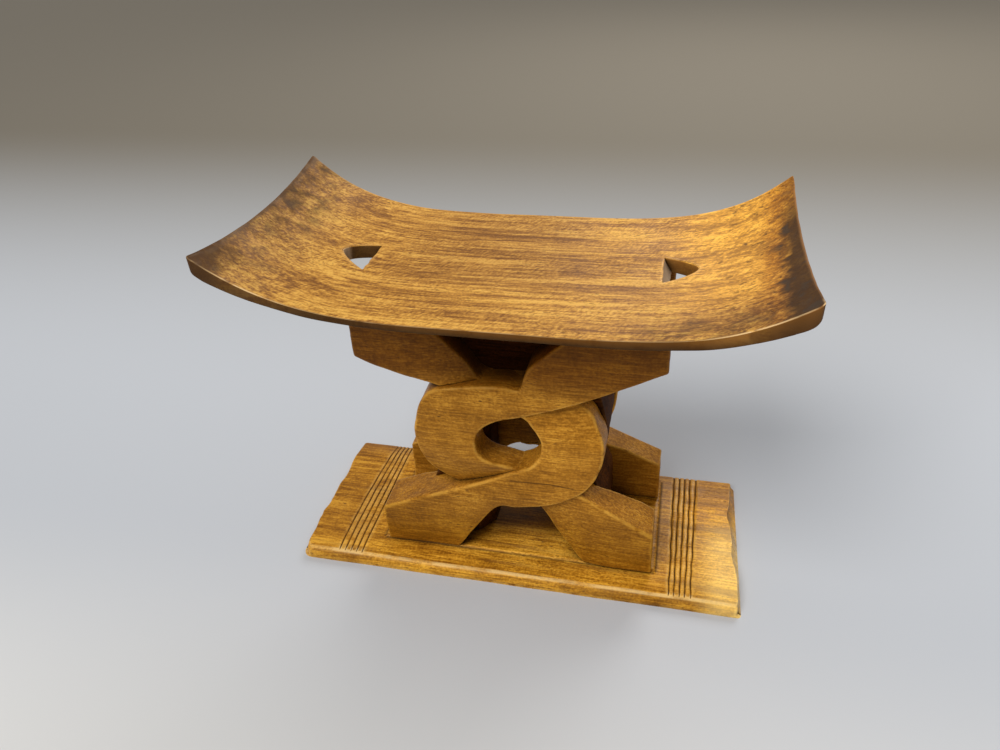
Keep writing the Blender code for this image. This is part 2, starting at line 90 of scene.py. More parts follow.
# Base slab
platform_rise = 0.0020
platform_half_length = 0.1570
platform_front = 0.0655
platform_rear = 0.0850
platform_step = 0.0024
base_crown_width = 0.0330
base_crown_drop = 0.0032
base_front_roll = 0.0090
base_rear_roll = 0.0060
base_end_roll = 0.0020
base_end_zone = 0.0140
base_end_lean = 0.0035
base_end_skew = 0.0025
base_front_taper = 0.0030
base_end_wear = 0.0050
base_corner_radius = 0.0040
base_worn_corner_radius = 0.0120
groove_count = 5
left_groove_start = 0.1750
left_groove_pitch = 0.0054
left_groove_fan = 0.0016
right_groove_start = 0.1738
right_groove_pitch = 0.0057
right_groove_fan = 0.0009
groove_width = 0.0034
groove_depth = 0.0014
groove_end = 0.0060
groove_bow_share = 0.55

# Unevenness left by the knife: the size of its patches and its height
seat_top_marks = (0.022, 0.0003)
seat_under_marks = (0.016, 0.0007)
seat_side_marks = (0.030, 0.0006)
seat_end_marks = (0.020, 0.0006)
hole_marks = (0.20, 0.0010)
left_groove_marks = (0.030, 0.0005)
right_groove_marks = (0.016, 0.0008)
base_top_marks = (0.020, 0.0005)
base_side_marks = (0.030, 0.0009)
base_end_marks = (0.010, 0.0012)
knot_marks = (0.014, 0.0005)

# Knots
knot_shift_x = 0.0020
knot_shift_y = -0.0015
knot_half_span = 0.1500
front_face = 0.0711
rear_face = 0.0835
core_half_depth = 0.0362
band_edge_round = 0.0021
band_crown = 0.0014
left_leg_splay = 0.0160
right_leg_splay = 0.0040
front_foot_depth = 0.0455
rear_leg_depth = 0.0315
rear_right_foot_extra = 0.0032
cut_overrun = 0.0300
valley_rise = 0.0058
valley_rib = 11.5
valley_reach_ribs = 1.6
leg_ribs = 1.0
leg_fade_ribs = 1.5
core_half_width = 0.0985
core_waist = 0.0125
shaft_half_width = 0.0320
shaft_corner_width = 0.0155
shaft_corner_depth = 0.0215
shaft_foot_width = 0.0380
shaft_foot_height = 0.0700
shaft_foot_middle_share = 0.6
lintel_start_share = 0.62
crossing_share = 0.5

# Worn ends of the base's top, from front to back as shares of its half depth, with how far the
# edge is worn back there as a share of the wear
left_end_wear_shares = [
    (-1.00, 0.30), (-0.72, 0.45), (-0.47, 0.00), (-0.20, 0.50), (0.03, 0.20), (0.32, 0.55),
    (0.58, 0.10), (0.80, 0.35), (1.00, 0.60),
]
right_end_wear_shares = [
    (-1.00, 0.10), (-0.72, 0.05), (-0.47, 0.15), (-0.36, 0.75), (-0.20, 1.00), (-0.04, 0.70),
    (0.18, 1.00), (0.38, 1.55), (0.58, 1.00), (0.80, 0.70), (1.00, 0.40),
]

# Ribs of a band: x and height of the rib's end on the loop's outside, then of its end beside the
# eye, as shares of the knot's half span and height, then how far each end is sunk behind the
# knot's face, as a share of the knot's depth
left_loop_rib_shares = [
    (0.997, 1.057, 1.005, 0.811, 0.00, 0.00),
    (0.560, 0.950, 0.653, 0.722, 0.00, 0.00),
    (0.205, 0.813, 0.373, 0.660, 0.00, 0.00),
    (0.127, 0.762, 0.220, 0.632, 0.00, 0.00),
    (0.087, 0.712, 0.080, 0.609, 0.00, 0.00),
    (-0.040, 0.716, -0.060, 0.588, 0.00, 0.00),
    (-0.300, 0.702, -0.170, 0.556, 0.00, 0.00),
    (-0.533, 0.672, -0.223, 0.516, 0.00, 0.00),
    (-0.640, 0.570, -0.231, 0.483, 0.00, 0.00),
    (-0.660, 0.473, -0.217, 0.449, 0.03, 0.00),
    (-0.590, 0.369, -0.147, 0.422, 0.18, 0.00),
    (-0.400, 0.288, 0.000, 0.405, 0.40, 0.05),
    (-0.133, 0.256, 0.233, 0.374, 0.45, 0.18),
    (0.160, 0.230, 0.527, 0.300, 0.40, 0.12),
    (0.353, 0.112, 0.700, 0.258, 0.22, 0.06),
    (0.600, -0.027, 0.900, 0.206, 0.15, 0.03),
    (1.015, -0.039, 1.003, 0.179, 0.15, 0.03),
]
right_loop_rib_shares = [
    (-1.005, -0.039, -0.995, 0.166, 0.15, 0.00),
    (-0.533, -0.033, -0.733, 0.223, 0.15, 0.00),
    (-0.307, 0.104, -0.433, 0.285, 0.06, 0.00),
    (-0.110, 0.228, -0.153, 0.347, 0.00, 0.00),
    (0.053, 0.240, 0.013, 0.389, 0.00, 0.00),
    (0.300, 0.270, 0.133, 0.416, 0.00, 0.00),
    (0.520, 0.341, 0.200, 0.454, 0.00, 0.00),
    (0.617, 0.432, 0.222, 0.492, 0.00, 0.00),
    (0.645, 0.512, 0.219, 0.529, 0.00, 0.00),
    (0.600, 0.576, 0.165, 0.574, 0.22, 0.00),
    (0.505, 0.640, 0.085, 0.609, 0.40, 0.05),
    (0.200, 0.700, -0.173, 0.645, 0.45, 0.15),
    (-0.150, 0.700, -0.499, 0.695, 0.42, 0.13),
    (-0.300, 0.788, -0.700, 0.724, 0.33, 0.07),
    (-0.610, 0.943, -0.867, 0.751, 0.12, 0.02),
    (-0.995, 1.072, -1.005, 0.780, 0.00, 0.00),
]

# Waist of a core wall: shares of the knot's height, each with its share of the waist's depth
core_waist_shares = [
    (-0.03, 0.0), (0.20, 0.0), (0.25, 0.35), (0.31, 1.0), (0.37, 0.75), (0.44, 0.3), (0.50, 0.15),
    (0.56, 0.3), (0.63, 0.75), (0.69, 1.0), (0.75, 0.35), (0.80, 0.0), (1.02, 0.0),
]
ribs_between = 7
left_loop_over_ribs = (1, 7)
left_loop_under_ribs = (10, 15)
right_loop_over_ribs = (2, 8)
right_loop_under_ribs = (8, 14)

base_half = base_length / 2
knot_floor = base_thickness + platform_rise
knot_height = seat_height - base_thickness

# Fineness of the meshes
voxel = 0.00115
kept_share = 0.30

# How sharply a surface turns, as one over a radius in metres: the sharpest that counts, the least
# that shows, and how much more of it makes an edge fully worn or a hollow fully grimy. Worn edges
# are painted lighter, partly as wear and partly as painted highlight.
sharpest_bend = 600
least_bend = 30
worn_bend = 120
grimy_bend = 160
platform_wear_share = 0.15

# Wood: where the four tones of a wood lie between its darkest and lightest, how far its grain
# drifts and stands out, and the tones that all woods share
tone_stops = (0.41, 0.475, 0.53, 0.59)
grain_drift = 0.011
grain_relief = 0.0006
fleck_tone = (0.070, 0.028, 0.009)
# Grime in creases, with painted shade where the surface is closed in
grime_and_shade_tone = (0.030, 0.014, 0.005)
# Painted shade for deep hollows under the seat and between the knots
pocket_shade_tone = (0.020, 0.006, 0.001)
shine_tint = (1.0, 0.72, 0.42)

# Crack in the front right loop: x and height of its two straight stretches, and its wobble
crack_route = ((-0.0052, 0.1330), (0.0446, 0.1358), (0.0712, 0.1317))
crack_wobble = 0.0012

# Camera, worked out from the base's corners and the seat's outline in the photograph: azimuth,
# elevation and tilt in degrees, place, and sensor width and focal length in millimetres
camera_angles = (14.759, 34.789, -3.465)
camera_place = (0.14554, -0.63081, 0.66962)
camera_sensor_width = 36
camera_lens = 26.897

# Floor: how far it reaches, and its tone under the stool, towards the camera and far behind; the
# lighter tone towards the camera is painted light
floor_half = 12.0
floor_tone = (0.500, 0.525, 0.565)
floor_near_painted_light_tone = (0.700, 0.700, 0.690)
floor_far_tone = (0.165, 0.145, 0.112)


def roll(distance, radius):
    """Return how far a quarter round of this radius lies below its face, this far from its edge."""
    inside = max(0.0, radius - distance)
    return radius - math.sqrt(max(0.0, radius * radius - inside * inside))


def round_places(radius, steps):
    """Return places from 0 to a radius, closer together towards 0."""
    return [radius * (1 - math.cos(math.pi / 2 * step / steps)) for step in range(steps + 1)]


def inner_places(start, length, steps):
    """Return the places that part a length into even steps, without its ends."""
    return [start + length * step / steps for step in range(1, steps)]


def edge_places(length, radius, steps, middle):
    """Return places from 0 to length, close together within the radius of both ends."""
    near = round_places(radius, steps)
    between = inner_places(radius, length - 2 * radius, middle)
    return near + between + [length - place for place in reversed(near)]


def mark(x, y, z, size, height):
    """Return a smooth unevenness of this height, over patches of this size, stretched along x."""
    return height * noise.noise(Vector((x / (size * 2.2), y / size, z / size)))


def add_object(name, mesh):
    """Turn a mesh under construction into an object of the scene."""
    data = bpy.data.meshes.new(name)
    mesh.to_mesh(data)
    mesh.free()
    item = bpy.data.objects.new(name, data)
    bpy.context.scene.collection.objects.link(item)
    return item


def slab(name, tops, bottoms, flat_ends=False):
    """Build a closed solid from two equal grids of points that face each other."""
    rows = len(tops)
    columns = len(tops[0])
    mesh = bmesh.new()
    upper = [[mesh.verts.new(point) for point in row] for row in tops]
    lower = [[mesh.verts.new(point) for point in row] for row in bottoms]
    for row in range(rows - 1):
        for column in range(columns - 1):
            mesh.faces.new((upper[row][column], upper[row][column + 1],
                            upper[row + 1][column + 1], upper[row + 1][column]))
            mesh.faces.new((lower[row][column], lower[row + 1][column],
                            lower[row + 1][column + 1], lower[row][column + 1]))
        for column in (0, -1):
            mesh.faces.new((upper[row][column], upper[row + 1][column],
                            lower[row + 1][column], lower[row][column]))
    for row in (0, -1):
        if flat_ends:
            mesh.faces.new(upper[row] + lower[row][::-1])
            continue
        for column in range(columns - 1):
            mesh.faces.new((upper[row][column], upper[row][column + 1],
                            lower[row][column + 1], lower[row][column]))
    bmesh.ops.recalc_face_normals(mesh, faces=mesh.faces)
    if mesh.calc_volume(signed=True) < 0:
        bmesh.ops.reverse_faces(mesh, faces=mesh.faces)
    return add_object(name, mesh)


def bake_modifiers(item):
    """Turn an object's mesh into what its modifiers make of it."""
    bpy.context.view_layer.update()
    evaluated = item.evaluated_get(bpy.context.evaluated_depsgraph_get())
    made = bpy.data.meshes.new_from_object(evaluated)
    item.modifiers.clear()
    item.data = made


def cut(item, cutters):
    """Cut the other objects out of this one, and delete them."""
    for cutter in cutters:
        modifier = item.modifiers.new("cut", "BOOLEAN")
        modifier.operation = "DIFFERENCE"
        modifier.solver = "EXACT"
        modifier.object = cutter
    bake_modifiers(item)
    for cutter in cutters:
        bpy.data.objects.remove(cutter, do_unlink=True)


def rows_of(parts, field, width, kind=np.float64):
    """Return what a mesh's points, normals or edges hold in this field, one row for each."""
    flat = np.zeros(len(parts) * width, kind)
    parts.foreach_get(field, flat)
    return flat.reshape(-1, width)


def points_of(data):
    """Return a mesh's points as rows of three numbers."""
    return rows_of(data.vertices, "co", 3)


def normals_of(data):
    """Return a mesh's normals at its points."""
    return rows_of(data.vertex_normals, "vector", 3)


def edges_of(data):
    """Return the two point numbers of every edge of a mesh."""
    return rows_of(data.edges, "vertices", 2, np.int64)


def neighbour_mean(values, edges, count):
    """Return the mean of each point's neighbours."""
    total = np.zeros((count, values.shape[1]))
    number = np.zeros(count)
    for a, b in ((0, 1), (1, 0)):
        np.add.at(total, edges[:, a], values[edges[:, b]])
        np.add.at(number, edges[:, a], 1)
    return total / np.maximum(number, 1)[:, None]


def smooth(data, rounds, amount):
    """Ease a mesh's points towards their neighbours."""
    edges = edges_of(data)
    points = points_of(data)
    for _ in range(rounds):
        points += amount * (neighbour_mean(points, edges, len(points)) - points)
    data.vertices.foreach_set("co", points.ravel())
    data.update()


def carve(item):
    """Remesh a band or wall finely, ease its edges and give its faces a knife-cut unevenness."""
    remesh = item.modifiers.new("even", "REMESH")
    remesh.mode = "VOXEL"
    remesh.voxel_size = voxel
    bake_modifiers(item)
    data = item.data
    smooth(data, rounds=4, amount=0.5)
    points = points_of(data)
    normals = normals_of(data)
    heights = np.array([mark(*point, *knot_marks) for point in points])
    data.vertices.foreach_set("co", (points + normals * heights[:, None]).ravel())
    data.update()
    fewer = item.modifiers.new("fewer", "DECIMATE")
    fewer.ratio = kept_share
    bake_modifiers(item)


def beside_platform(points):
    """Return how much wear shows at points of the base: little where the platform begins."""
    near_x = np.abs(points[:, 0] - knot_shift_x) < platform_half_length + platform_step
    near_y = np.abs(points[:, 1]) < base_depth / 2 - base_front_roll
    return np.where(near_x & near_y, platform_wear_share, 1.0)


def mark_shape(item, rounds, kept):
    """Store how worn (outward) and how grimy (inward) the surface turns at each point; the worn
    edges are later painted lighter, partly as painted highlight.
    """
    data = item.data
    points = points_of(data)
    normals = normals_of(data)
    edges = edges_of(data)
    bend = np.zeros(len(points))
    number = np.zeros(len(points))
    for a, b in ((0, 1), (1, 0)):
        away = points[edges[:, b]] - points[edges[:, a]]
        length = np.maximum((away * away).sum(1), 1e-10)
        np.add.at(bend, edges[:, a], -2 * (away * normals[edges[:, a]]).sum(1) / length)
        np.add.at(number, edges[:, a], 1)
    bend = np.clip(bend / np.maximum(number, 1), -sharpest_bend, sharpest_bend)[:, None]
    for _ in range(rounds):
        bend = 0.5 * bend + 0.5 * neighbour_mean(bend, edges, len(points))
    bend = bend[:, 0]
    if kept is not None:
        bend = np.where(bend > 0, bend * kept(points), bend)
    worn = (bend - least_bend) / worn_bend
    grimy = (-bend - least_bend) / grimy_bend
    for name, values in (("worn", worn), ("grimy", grimy)):
        layer = data.attributes.new(name, "FLOAT", "POINT")
        layer.data.foreach_set("value", np.clip(values, 0, 1).astype(np.float32))


def seat_top(x, across):
    """Return the height of the seat's top, where across runs from -1 to 1 over the seat's depth."""
    along = min(1.0, abs(x) / (seat_length / 2))
    if x < 0:
        rise = seat_left_rise * along ** seat_left_power_share
    else:
        rise = seat_right_rise * along ** seat_right_power_share
    ends = along ** seat_dish_power_share
    dish = seat_middle_dish + (seat_end_dish - seat_middle_dish) * ends
    lean = seat_middle_lean * (1 - along * along)
    return seat_height + rise - dish * (1 - across * across) - lean * across


def seat_thickness(x, across):
    """Return the upright thickness of the seat, thin at its rims and thick at its ends."""
    along = min(1.0, abs(x) / (seat_length / 2))
    ends = along ** seat_thick_power_share
    middle = seat_middle_thickness + (seat_end_thickness - seat_middle_thickness) * ends
    side = 1 + seat_rim_growth_share * x / (seat_length / 2)
    rim = seat_rim_thickness * side * (1 - ends) + seat_end_thickness * ends
    return rim + (middle - rim) * (1 - abs(across) ** seat_rim_power_share)


def seat_grids(lift_under, rise, steps_along, steps_across, uneven):
    """Return the seat's top and underside as grids, the underside lifted and the top raised.

    With uneven at 1 it has its knife marks and rounded corners, and with uneven at 0 it has none.
    """
    tops = []
    bottoms = []
    for along in edge_places(seat_length, seat_end_roll, steps=9, middle=steps_along):
        share = 2 * along / seat_length - 1
        ends = share ** seat_corner_power_share
        end = min(along, seat_length - along)
        top_row = []
        bottom_row = []
        for place in edge_places(seat_depth, seat_rim_roll, steps=5, middle=steps_across):
            across = 2 * place / seat_depth - 1
            rim = min(place, seat_depth - place)
            eased = uneven * seat_end_ease
            half = seat_length / 2 - eased - seat_end_hollow * (1 - across * across)
            x = share * half
            corner = uneven * roll(end, seat_corner_radius)
            y = across * (seat_depth / 2 + seat_corner_flare * ends - corner)
            top = seat_top(x, across)
            thickness = seat_thickness(x, across)
            lift = (roll(end, seat_end_roll) + roll(rim, seat_rim_roll)) / 2
            ease = (roll(end, seat_edge_round) + roll(rim, seat_edge_round)) / 2
            top += uneven * mark(x, y, 0.0, *seat_top_marks) - eased * ends
            under = uneven * mark(x, y, 0.5, *seat_under_marks)
            y += uneven * mark(x, across, 0.8, *seat_side_marks) * across * across
            x += uneven * mark(0.7, y, share, *seat_end_marks) * ends
            upper = top + rise - ease
            lower = top - thickness + lift_under + under + min(lift, thickness / 2)
            top_row.append((x, y, upper))
            bottom_row.append((x, y, min(lower, upper - seat_least_gap)))
        tops.append(top_row)
        bottoms.append(bottom_row)
    return tops, bottoms


def hole_outline(side, start, reach, width, shift, peak_share, power_shares, slope):
    """Return points round a hand hole, each with how far its wall slopes, and outward ways."""
    points = []
    for step in range(hole_outer_steps + 1):
        across = -math.cos(math.pi * step / hole_outer_steps)
        if across > peak_share:
            away = (across - peak_share) / (1 - peak_share)
            out = reach * (1 - away ** power_shares[1])
        else:
            away = (peak_share - across) / (1 + peak_share)
            out = reach * (1 - away ** power_shares[0])
        points.append((side * (start + out), shift + across * width / 2, 0.0))
    for across in inner_places(1, -2, hole_inner_steps):
        wobble = mark(0.0, across, side * 0.3, *hole_marks)
        points.append((side * (start + wobble), shift + across * width / 2, side * slope))
    outline = []
    count = len(points)
    for index, (x, y, lean) in enumerate(points):
        before = points[index - 1]
        after = points[(index + 1) % count]
        way = Vector((after[1] - before[1], before[0] - after[0], 0.0)).normalized()
        if side < 0:
            way = -way
        outline.append((x, y, lean, way))
    return outline


def hole_cutter(side, *sizes):
    """Return the body of one hand hole, flared into a small round at both of the seat's faces."""
    outline = hole_outline(side, *sizes)
    angles = [math.pi / 2 * step / hole_rim_steps for step in range(hole_rim_steps + 1)]
    levels = [(1 - math.cos(angle), 1 - math.sin(angle)) for angle in angles]
    rows = [("top", hole_overrun, 1.0)]
    rows += [("top", -hole_rim * depth, flare) for depth, flare in levels]
    rows += [("under", hole_rim * depth, flare) for depth, flare in reversed(levels)]
    rows += [("under", -hole_overrun, 1.0)]
    mesh = bmesh.new()
    rings = []
    for face, depth, flare in rows:
        ring = []
        for x, y, lean, way in outline:
            across = y / (seat_depth / 2)
            z = seat_top(x, across) + depth
            if face == "under":
                z -= seat_thickness(x, across)
                x += lean
            ring.append(mesh.verts.new((x + way.x * flare * hole_rim,
                                        y + way.y * flare * hole_rim, z)))
        rings.append(ring)
    count = len(outline)
    for upper, lower in zip(rings, rings[1:]):
        for index in range(count):
            other = (index + 1) % count
            mesh.faces.new((upper[index], upper[other], lower[other], lower[index]))
    mesh.faces.new(rings[0])
    mesh.faces.new(rings[-1][::-1])
    bmesh.ops.recalc_face_normals(mesh, faces=mesh.faces)
    return add_object("hole", mesh)


def worn_back(across, shares):
    """Return how far the base's top edge is worn back here, eased from place to place."""
    for (start, first), (end, second) in zip(shares, shares[1:]):
        if across <= end:
            part = max(0.0, (across - start) / (end - start))
            eased = (1 - math.cos(math.pi * part)) / 2
            return base_end_wear * (first + (second - first) * eased)
    return base_end_wear * shares[-1][1]


def groove_centres(y):
    """Return how far out each groove lies at this depth: on the left, then on the right."""
    across = y / (base_depth / 2)
    left_pitch = left_groove_pitch + left_groove_fan * (1 - (across + groove_bow_share) ** 2 / 2)
    right_pitch = right_groove_pitch + right_groove_fan * (across + 1) / 2
    left = []
    right = []
    for number in range(groove_count):
        left.append(left_groove_start + number * left_pitch
                    + mark(0.0, y, number * 0.9, *left_groove_marks))
        right.append(right_groove_start + number * right_pitch
                     + mark(0.0, y, number * 0.7 + 5, *right_groove_marks))
    return left, right


def base_x_places(y, flat):
    """Return the places along the base where its shape changes, at this depth."""
    places = []
    profile = [groove_width / 2 * share / 4 for share in range(-4, 5)]
    for side, centres in zip((-1, 1), groove_centres(0 if flat else y)):
        start = centres[0] - groove_width / 2
        last = centres[-1] + groove_width / 2
        edge = platform_half_length + side * knot_shift_x
        outward = [base_half - end for end in round_places(base_end_zone, steps=10)]
        outward += [centre + offset for centre in centres for offset in profile]
        outward += inner_places(last, base_half - base_end_zone - last, steps=12)
        outward += [edge - platform_step * step / 3 for step in range(4)]
        outward += inner_places(edge, start - edge, steps=5)
        places += [side * place for place in outward]
    reach = platform_half_length - platform_step
    places += inner_places(knot_shift_x - reach, 2 * reach, steps=80)
    return sorted(places)


def base_y_places():
    """Return the places across the base where its shape changes."""
    half = base_depth / 2
    front = knot_shift_y - platform_front
    rear = knot_shift_y + platform_rear
    low = base_front_roll - half
    high = half - base_rear_roll
    places = [place - half for place in round_places(base_front_roll, steps=9)]
    places += [half - place for place in round_places(base_rear_roll, steps=7)]
    places += [front + platform_step * step / 3 for step in range(4)]
    places += [rear - platform_step * step / 3 for step in range(4)]
    places += inner_places(low, front - low, steps=9)
    places += inner_places(front + platform_step, rear - front - 2 * platform_step, steps=54)
    places += inner_places(rear, high - rear, steps=3)
    return sorted(places)


def base_top(x, y):
    """Return the height of the base's top: crowned rims, a platform, and grooves near the ends."""
    rim = max(0.0, abs(y) - (base_depth / 2 - base_crown_width)) / base_crown_width
    height = base_thickness - base_crown_drop * rim * rim
    inside_x = platform_half_length - abs(x - knot_shift_x)
    inside_y = min(y - knot_shift_y + platform_front, platform_rear - y + knot_shift_y)
    step = max(0.0, min(1.0, min(inside_x, inside_y) / platform_step))
    height += platform_rise * step * step * (3 - 2 * step)
    fade = max(0.0, min(1.0, (y + base_depth / 2 - groove_end) / groove_end))
    for centre in groove_centres(y)[0 if x < 0 else 1]:
        away = abs(abs(x) - centre) / (groove_width / 2)
        if away < 1:
            height -= groove_depth * fade * (1 + math.cos(math.pi * away)) / 2
    return height


def base_grids():
    """Return the base's top and underside as grids."""
    half = base_depth / 2
    tops = []
    bottoms = []
    flats = base_x_places(0, True)
    across_places = base_y_places()
    by_depth = [base_x_places(place, False) for place in across_places]
    for index, flat_x in enumerate(flats):
        end = max(0.0, base_half - abs(flat_x))
        left = flat_x < 0
        front_inset = roll(end, base_worn_corner_radius if left else base_corner_radius)
        rear_inset = roll(end, base_corner_radius)
        wear_shares = left_end_wear_shares if left else right_end_wear_shares
        zone = max(0.0, 1 - end / base_end_zone)
        taper = base_front_taper * (1 + flat_x / base_half) / 2
        top_row = []
        bottom_row = []
        for number, place in enumerate(across_places):
            across = place / half
            if place < 0:
                y = place + (front_inset + taper) * -across
                rim_roll = base_front_roll
            else:
                y = place - rear_inset * across
                rim_roll = base_rear_roll
            y += mark(flat_x, 0.0, 3.0 + (place > 0), *base_side_marks) * across ** 4
            skew = 0 if left else base_end_skew * zone * (1 + across) / 2
            worn = zone * (base_end_lean + worn_back(across, wear_shares))
            worn += zone * zone * mark(4.0, y, 0.0, *base_end_marks)
            x = by_depth[number][index]
            ease = roll(half - abs(place), rim_roll) + roll(end, base_end_roll)
            height = max(base_top(x, place) - ease, base_thickness / 6)
            height += mark(x, y, 7.0, *base_top_marks) * min(1.0, height / base_thickness)
            top_row.append((x - skew + (worn if left else -worn), y, height))
            bottom_row.append((flat_x - skew, y, 0))
        tops.append(top_row)
        bottoms.append(bottom_row)
    return tops, bottoms


def smooth_ribs(rows, steps):
    """Return ribs on smooth curves through the given ones, with steps from each to the next."""
    padded = [rows[0], *rows, rows[-1]]
    ribs = []
    for index in range(1, len(padded) - 2):
        before, here, after, beyond = padded[index - 1:index + 3]
        for step in range(steps):
            t = step / steps
            rib = []
            for a, b, c, d in zip(before, here, after, beyond):
                rib.append(b + 0.5 * t * (c - a + t * (2 * a - 5 * b + 4 * c - d
                                                       + t * (3 * b - a - 3 * c + d))))
            ribs.append(tuple(rib))
    ribs.append(rows[-1])
    return ribs


def leg_weight(position, last, wanted):
    """Return 1 on the ribs of an end of the band, falling to 0 within the next rib and a half."""
    from_end = position if wanted == "first" else last - position
    return max(0.0, min(1.0, (leg_ribs + leg_fade_ribs - from_end) / leg_fade_ribs))


def rib_places(rows):
    """Return each smoothed rib's number, its two ends in metres, its width and its two sinks."""
    places = []
    for index, rib in enumerate(smooth_ribs(rows, ribs_between)):
        outer_x, outer_z, inner_x, inner_z, outer_sink, inner_sink = rib
        outer = (outer_x * knot_half_span, base_thickness + outer_z * knot_height)
        inner = (inner_x * knot_half_span, base_thickness + inner_z * knot_height)
        width = math.dist(outer, inner)
        places.append((index / ribs_between, outer, inner, width, outer_sink, inner_sink))
    return places


def on_rib(outer, inner, share):
    """Return the point this share of the way from a rib's outer end to its inner end."""
    return (outer[0] + (inner[0] - outer[0]) * share, outer[1] + (inner[1] - outer[1]) * share)


def rib_back(position, last, depth, leg_depths, leg):
    """Return how deep a band reaches at a rib, how far its leg splays and its back rises there."""
    first = leg_weight(position, last, "first")
    final = leg_weight(position, last, "last")
    reach = depth + (leg_depths[0] - depth) * first + (leg_depths[1] - depth) * final
    if leg == "first":
        near = valley_reach_ribs - abs(position - valley_rib)
        rise = valley_rise * max(0.0, min(1.0, near))
        return reach, left_leg_splay * first, rise
    return reach, right_leg_splay * final, 0.0


def place_band(rows, face, side):
    """Turn points whose middle value is a depth behind the knot's face into places on the stool."""
    return [[(knot_shift_x + side * x, knot_shift_y - side * (face - depth), z)
             for x, depth, z in row] for row in rows]


def band(name, rows, face, side, leg_depths, leg):
    """Build one whole band of a knot, front with side 1 or behind with side -1."""
    depth = face - core_half_depth
    fronts = []
    backs = []
    for position, outer, inner, width, outer_sink, inner_sink in rib_places(rows):
        reach, splay, rise = rib_back(position, len(rows) - 1, depth, leg_depths, leg)
        front_row = []
        back_row = []
        for place in edge_places(width, band_edge_round, steps=5, middle=7):
            share = place / width
            edge = min(place, width - place)
            sink = (outer_sink + (inner_sink - outer_sink) * share) * depth
            crown = band_crown * (1 - 4 * share * (1 - share))
            x, z = on_rib(outer, inner, share)
            front_row.append((x, sink + crown + roll(edge, band_edge_round), z))
            x, z = on_rib(outer, inner, share - splay / width * (1 - share))
            back_row.append((x, reach + overlap, z + rise * (1 - share)))
        fronts.append(front_row)
        backs.append(back_row)
    return slab(name, place_band(fronts, face, side), place_band(backs, face, side),
                flat_ends=True)


def crossing_cutter(rows, ribs_used, face, side, from_depth, to_depth):
    """Return a flat-sided block over a stretch of a band, a little narrower than the band."""
    fronts = []
    backs = []
    first, last = (rib * ribs_between for rib in ribs_used)
    for _, outer, inner, width, _, _ in rib_places(rows)[first:last + 1]:
        ends = [on_rib(outer, inner, share) for share in (overlap / width, 1 - overlap / width)]
        fronts.append([(x, from_depth, z) for x, z in ends])
        backs.append([(x, to_depth, z) for x, z in ends])
    return slab("crossing", place_band(fronts, face, side), place_band(backs, face, side),
                flat_ends=True)


def knot(names, face, side, left_rows, right_rows, left_depths, right_depths):
    """Build the two bands of one knot, each halved where it crosses the other."""
    depth = face - core_half_depth
    crossing = crossing_share * depth
    left = band(names[0], left_rows, face, side, left_depths, "last")
    right = band(names[1], right_rows, face, side, right_depths, "first")
    front = -cut_overrun
    back = depth + cut_overrun
    behind = crossing - overlap
    cut(right, [crossing_cutter(left_rows, left_loop_over_ribs, face, side, front, behind),
                crossing_cutter(left_rows, left_loop_under_ribs, face, side, crossing, back)])
    cut(left, [crossing_cutter(right_rows, right_loop_under_ribs, face, side, crossing, back),
               crossing_cutter(right_rows, right_loop_over_ribs, face, side, front, behind)])
    return [left, right]


def core_profile():
    """Return heights up a core wall with how far the wall stands out at each."""
    return [(base_thickness + height * knot_height, core_half_width - core_waist * waist)
            for height, waist in smooth_ribs(core_waist_shares, steps=5)]


def core_wall(name, side):
    """Build one wall of the core: splayed at both ends towards the shaft, waisted outside."""
    half = core_half_depth + overlap
    outsides = []
    insides = []
    for z, width in core_profile():
        outside_row = []
        inside_row = []
        low = max(0.0, min(1.0, 1 - (z - knot_floor) / shaft_foot_height)) if side > 0 else 0.0
        for y in (-half, shaft_corner_depth - half, half - shaft_corner_depth, half):
            corner = abs(y) == half
            foot = shaft_foot_width * low * (1 if corner else shaft_foot_middle_share)
            splay = shaft_corner_width * corner + foot
            outside_row.append((knot_shift_x + side * width, knot_shift_y + y, z))
            inside_row.append((knot_shift_x + side * (shaft_half_width + splay),
                               knot_shift_y + y, z))
        outsides.append(outside_row)
        insides.append(inside_row)
    return slab(name, outsides, insides)


def core_lintel(name):
    """Build the block between the core walls that closes the top of the shaft."""
    half = core_half_depth + overlap
    bottom = base_thickness + lintel_start_share * knot_height
    tops = []
    bottoms = []
    for y in (-half, shaft_corner_depth - half, half - shaft_corner_depth, half):
        splay = shaft_corner_width if abs(y) == half else 0
        width = shaft_half_width + splay + overlap
        ends = [(knot_shift_x + x, knot_shift_y + y) for x in (-width, width)]
        tops.append([(*end, seat_height) for end in ends])
        bottoms.append([(*end, bottom) for end in ends])
    return slab(name, tops, bottoms)


def seat_cutter():
    """Return a body that fills everything above the underside of the seat."""
    return slab("above", *seat_grids(lift_under=overlap, rise=cut_overrun, steps_along=60,
                                     steps_across=24, uneven=0))


def floor_cutter():
    """Return a body that fills everything below the base's platform."""
    half = (seat_length / 2, seat_depth / 2)
    low, high = -cut_overrun, knot_floor - overlap
    tops = [[(x, y, high) for y in (-half[1], half[1])] for x in (-half[0], half[0])]
    bottoms = [[(x, y, low) for y in (-half[1], half[1])] for x in (-half[0], half[0])]
    return slab("below", tops, bottoms)


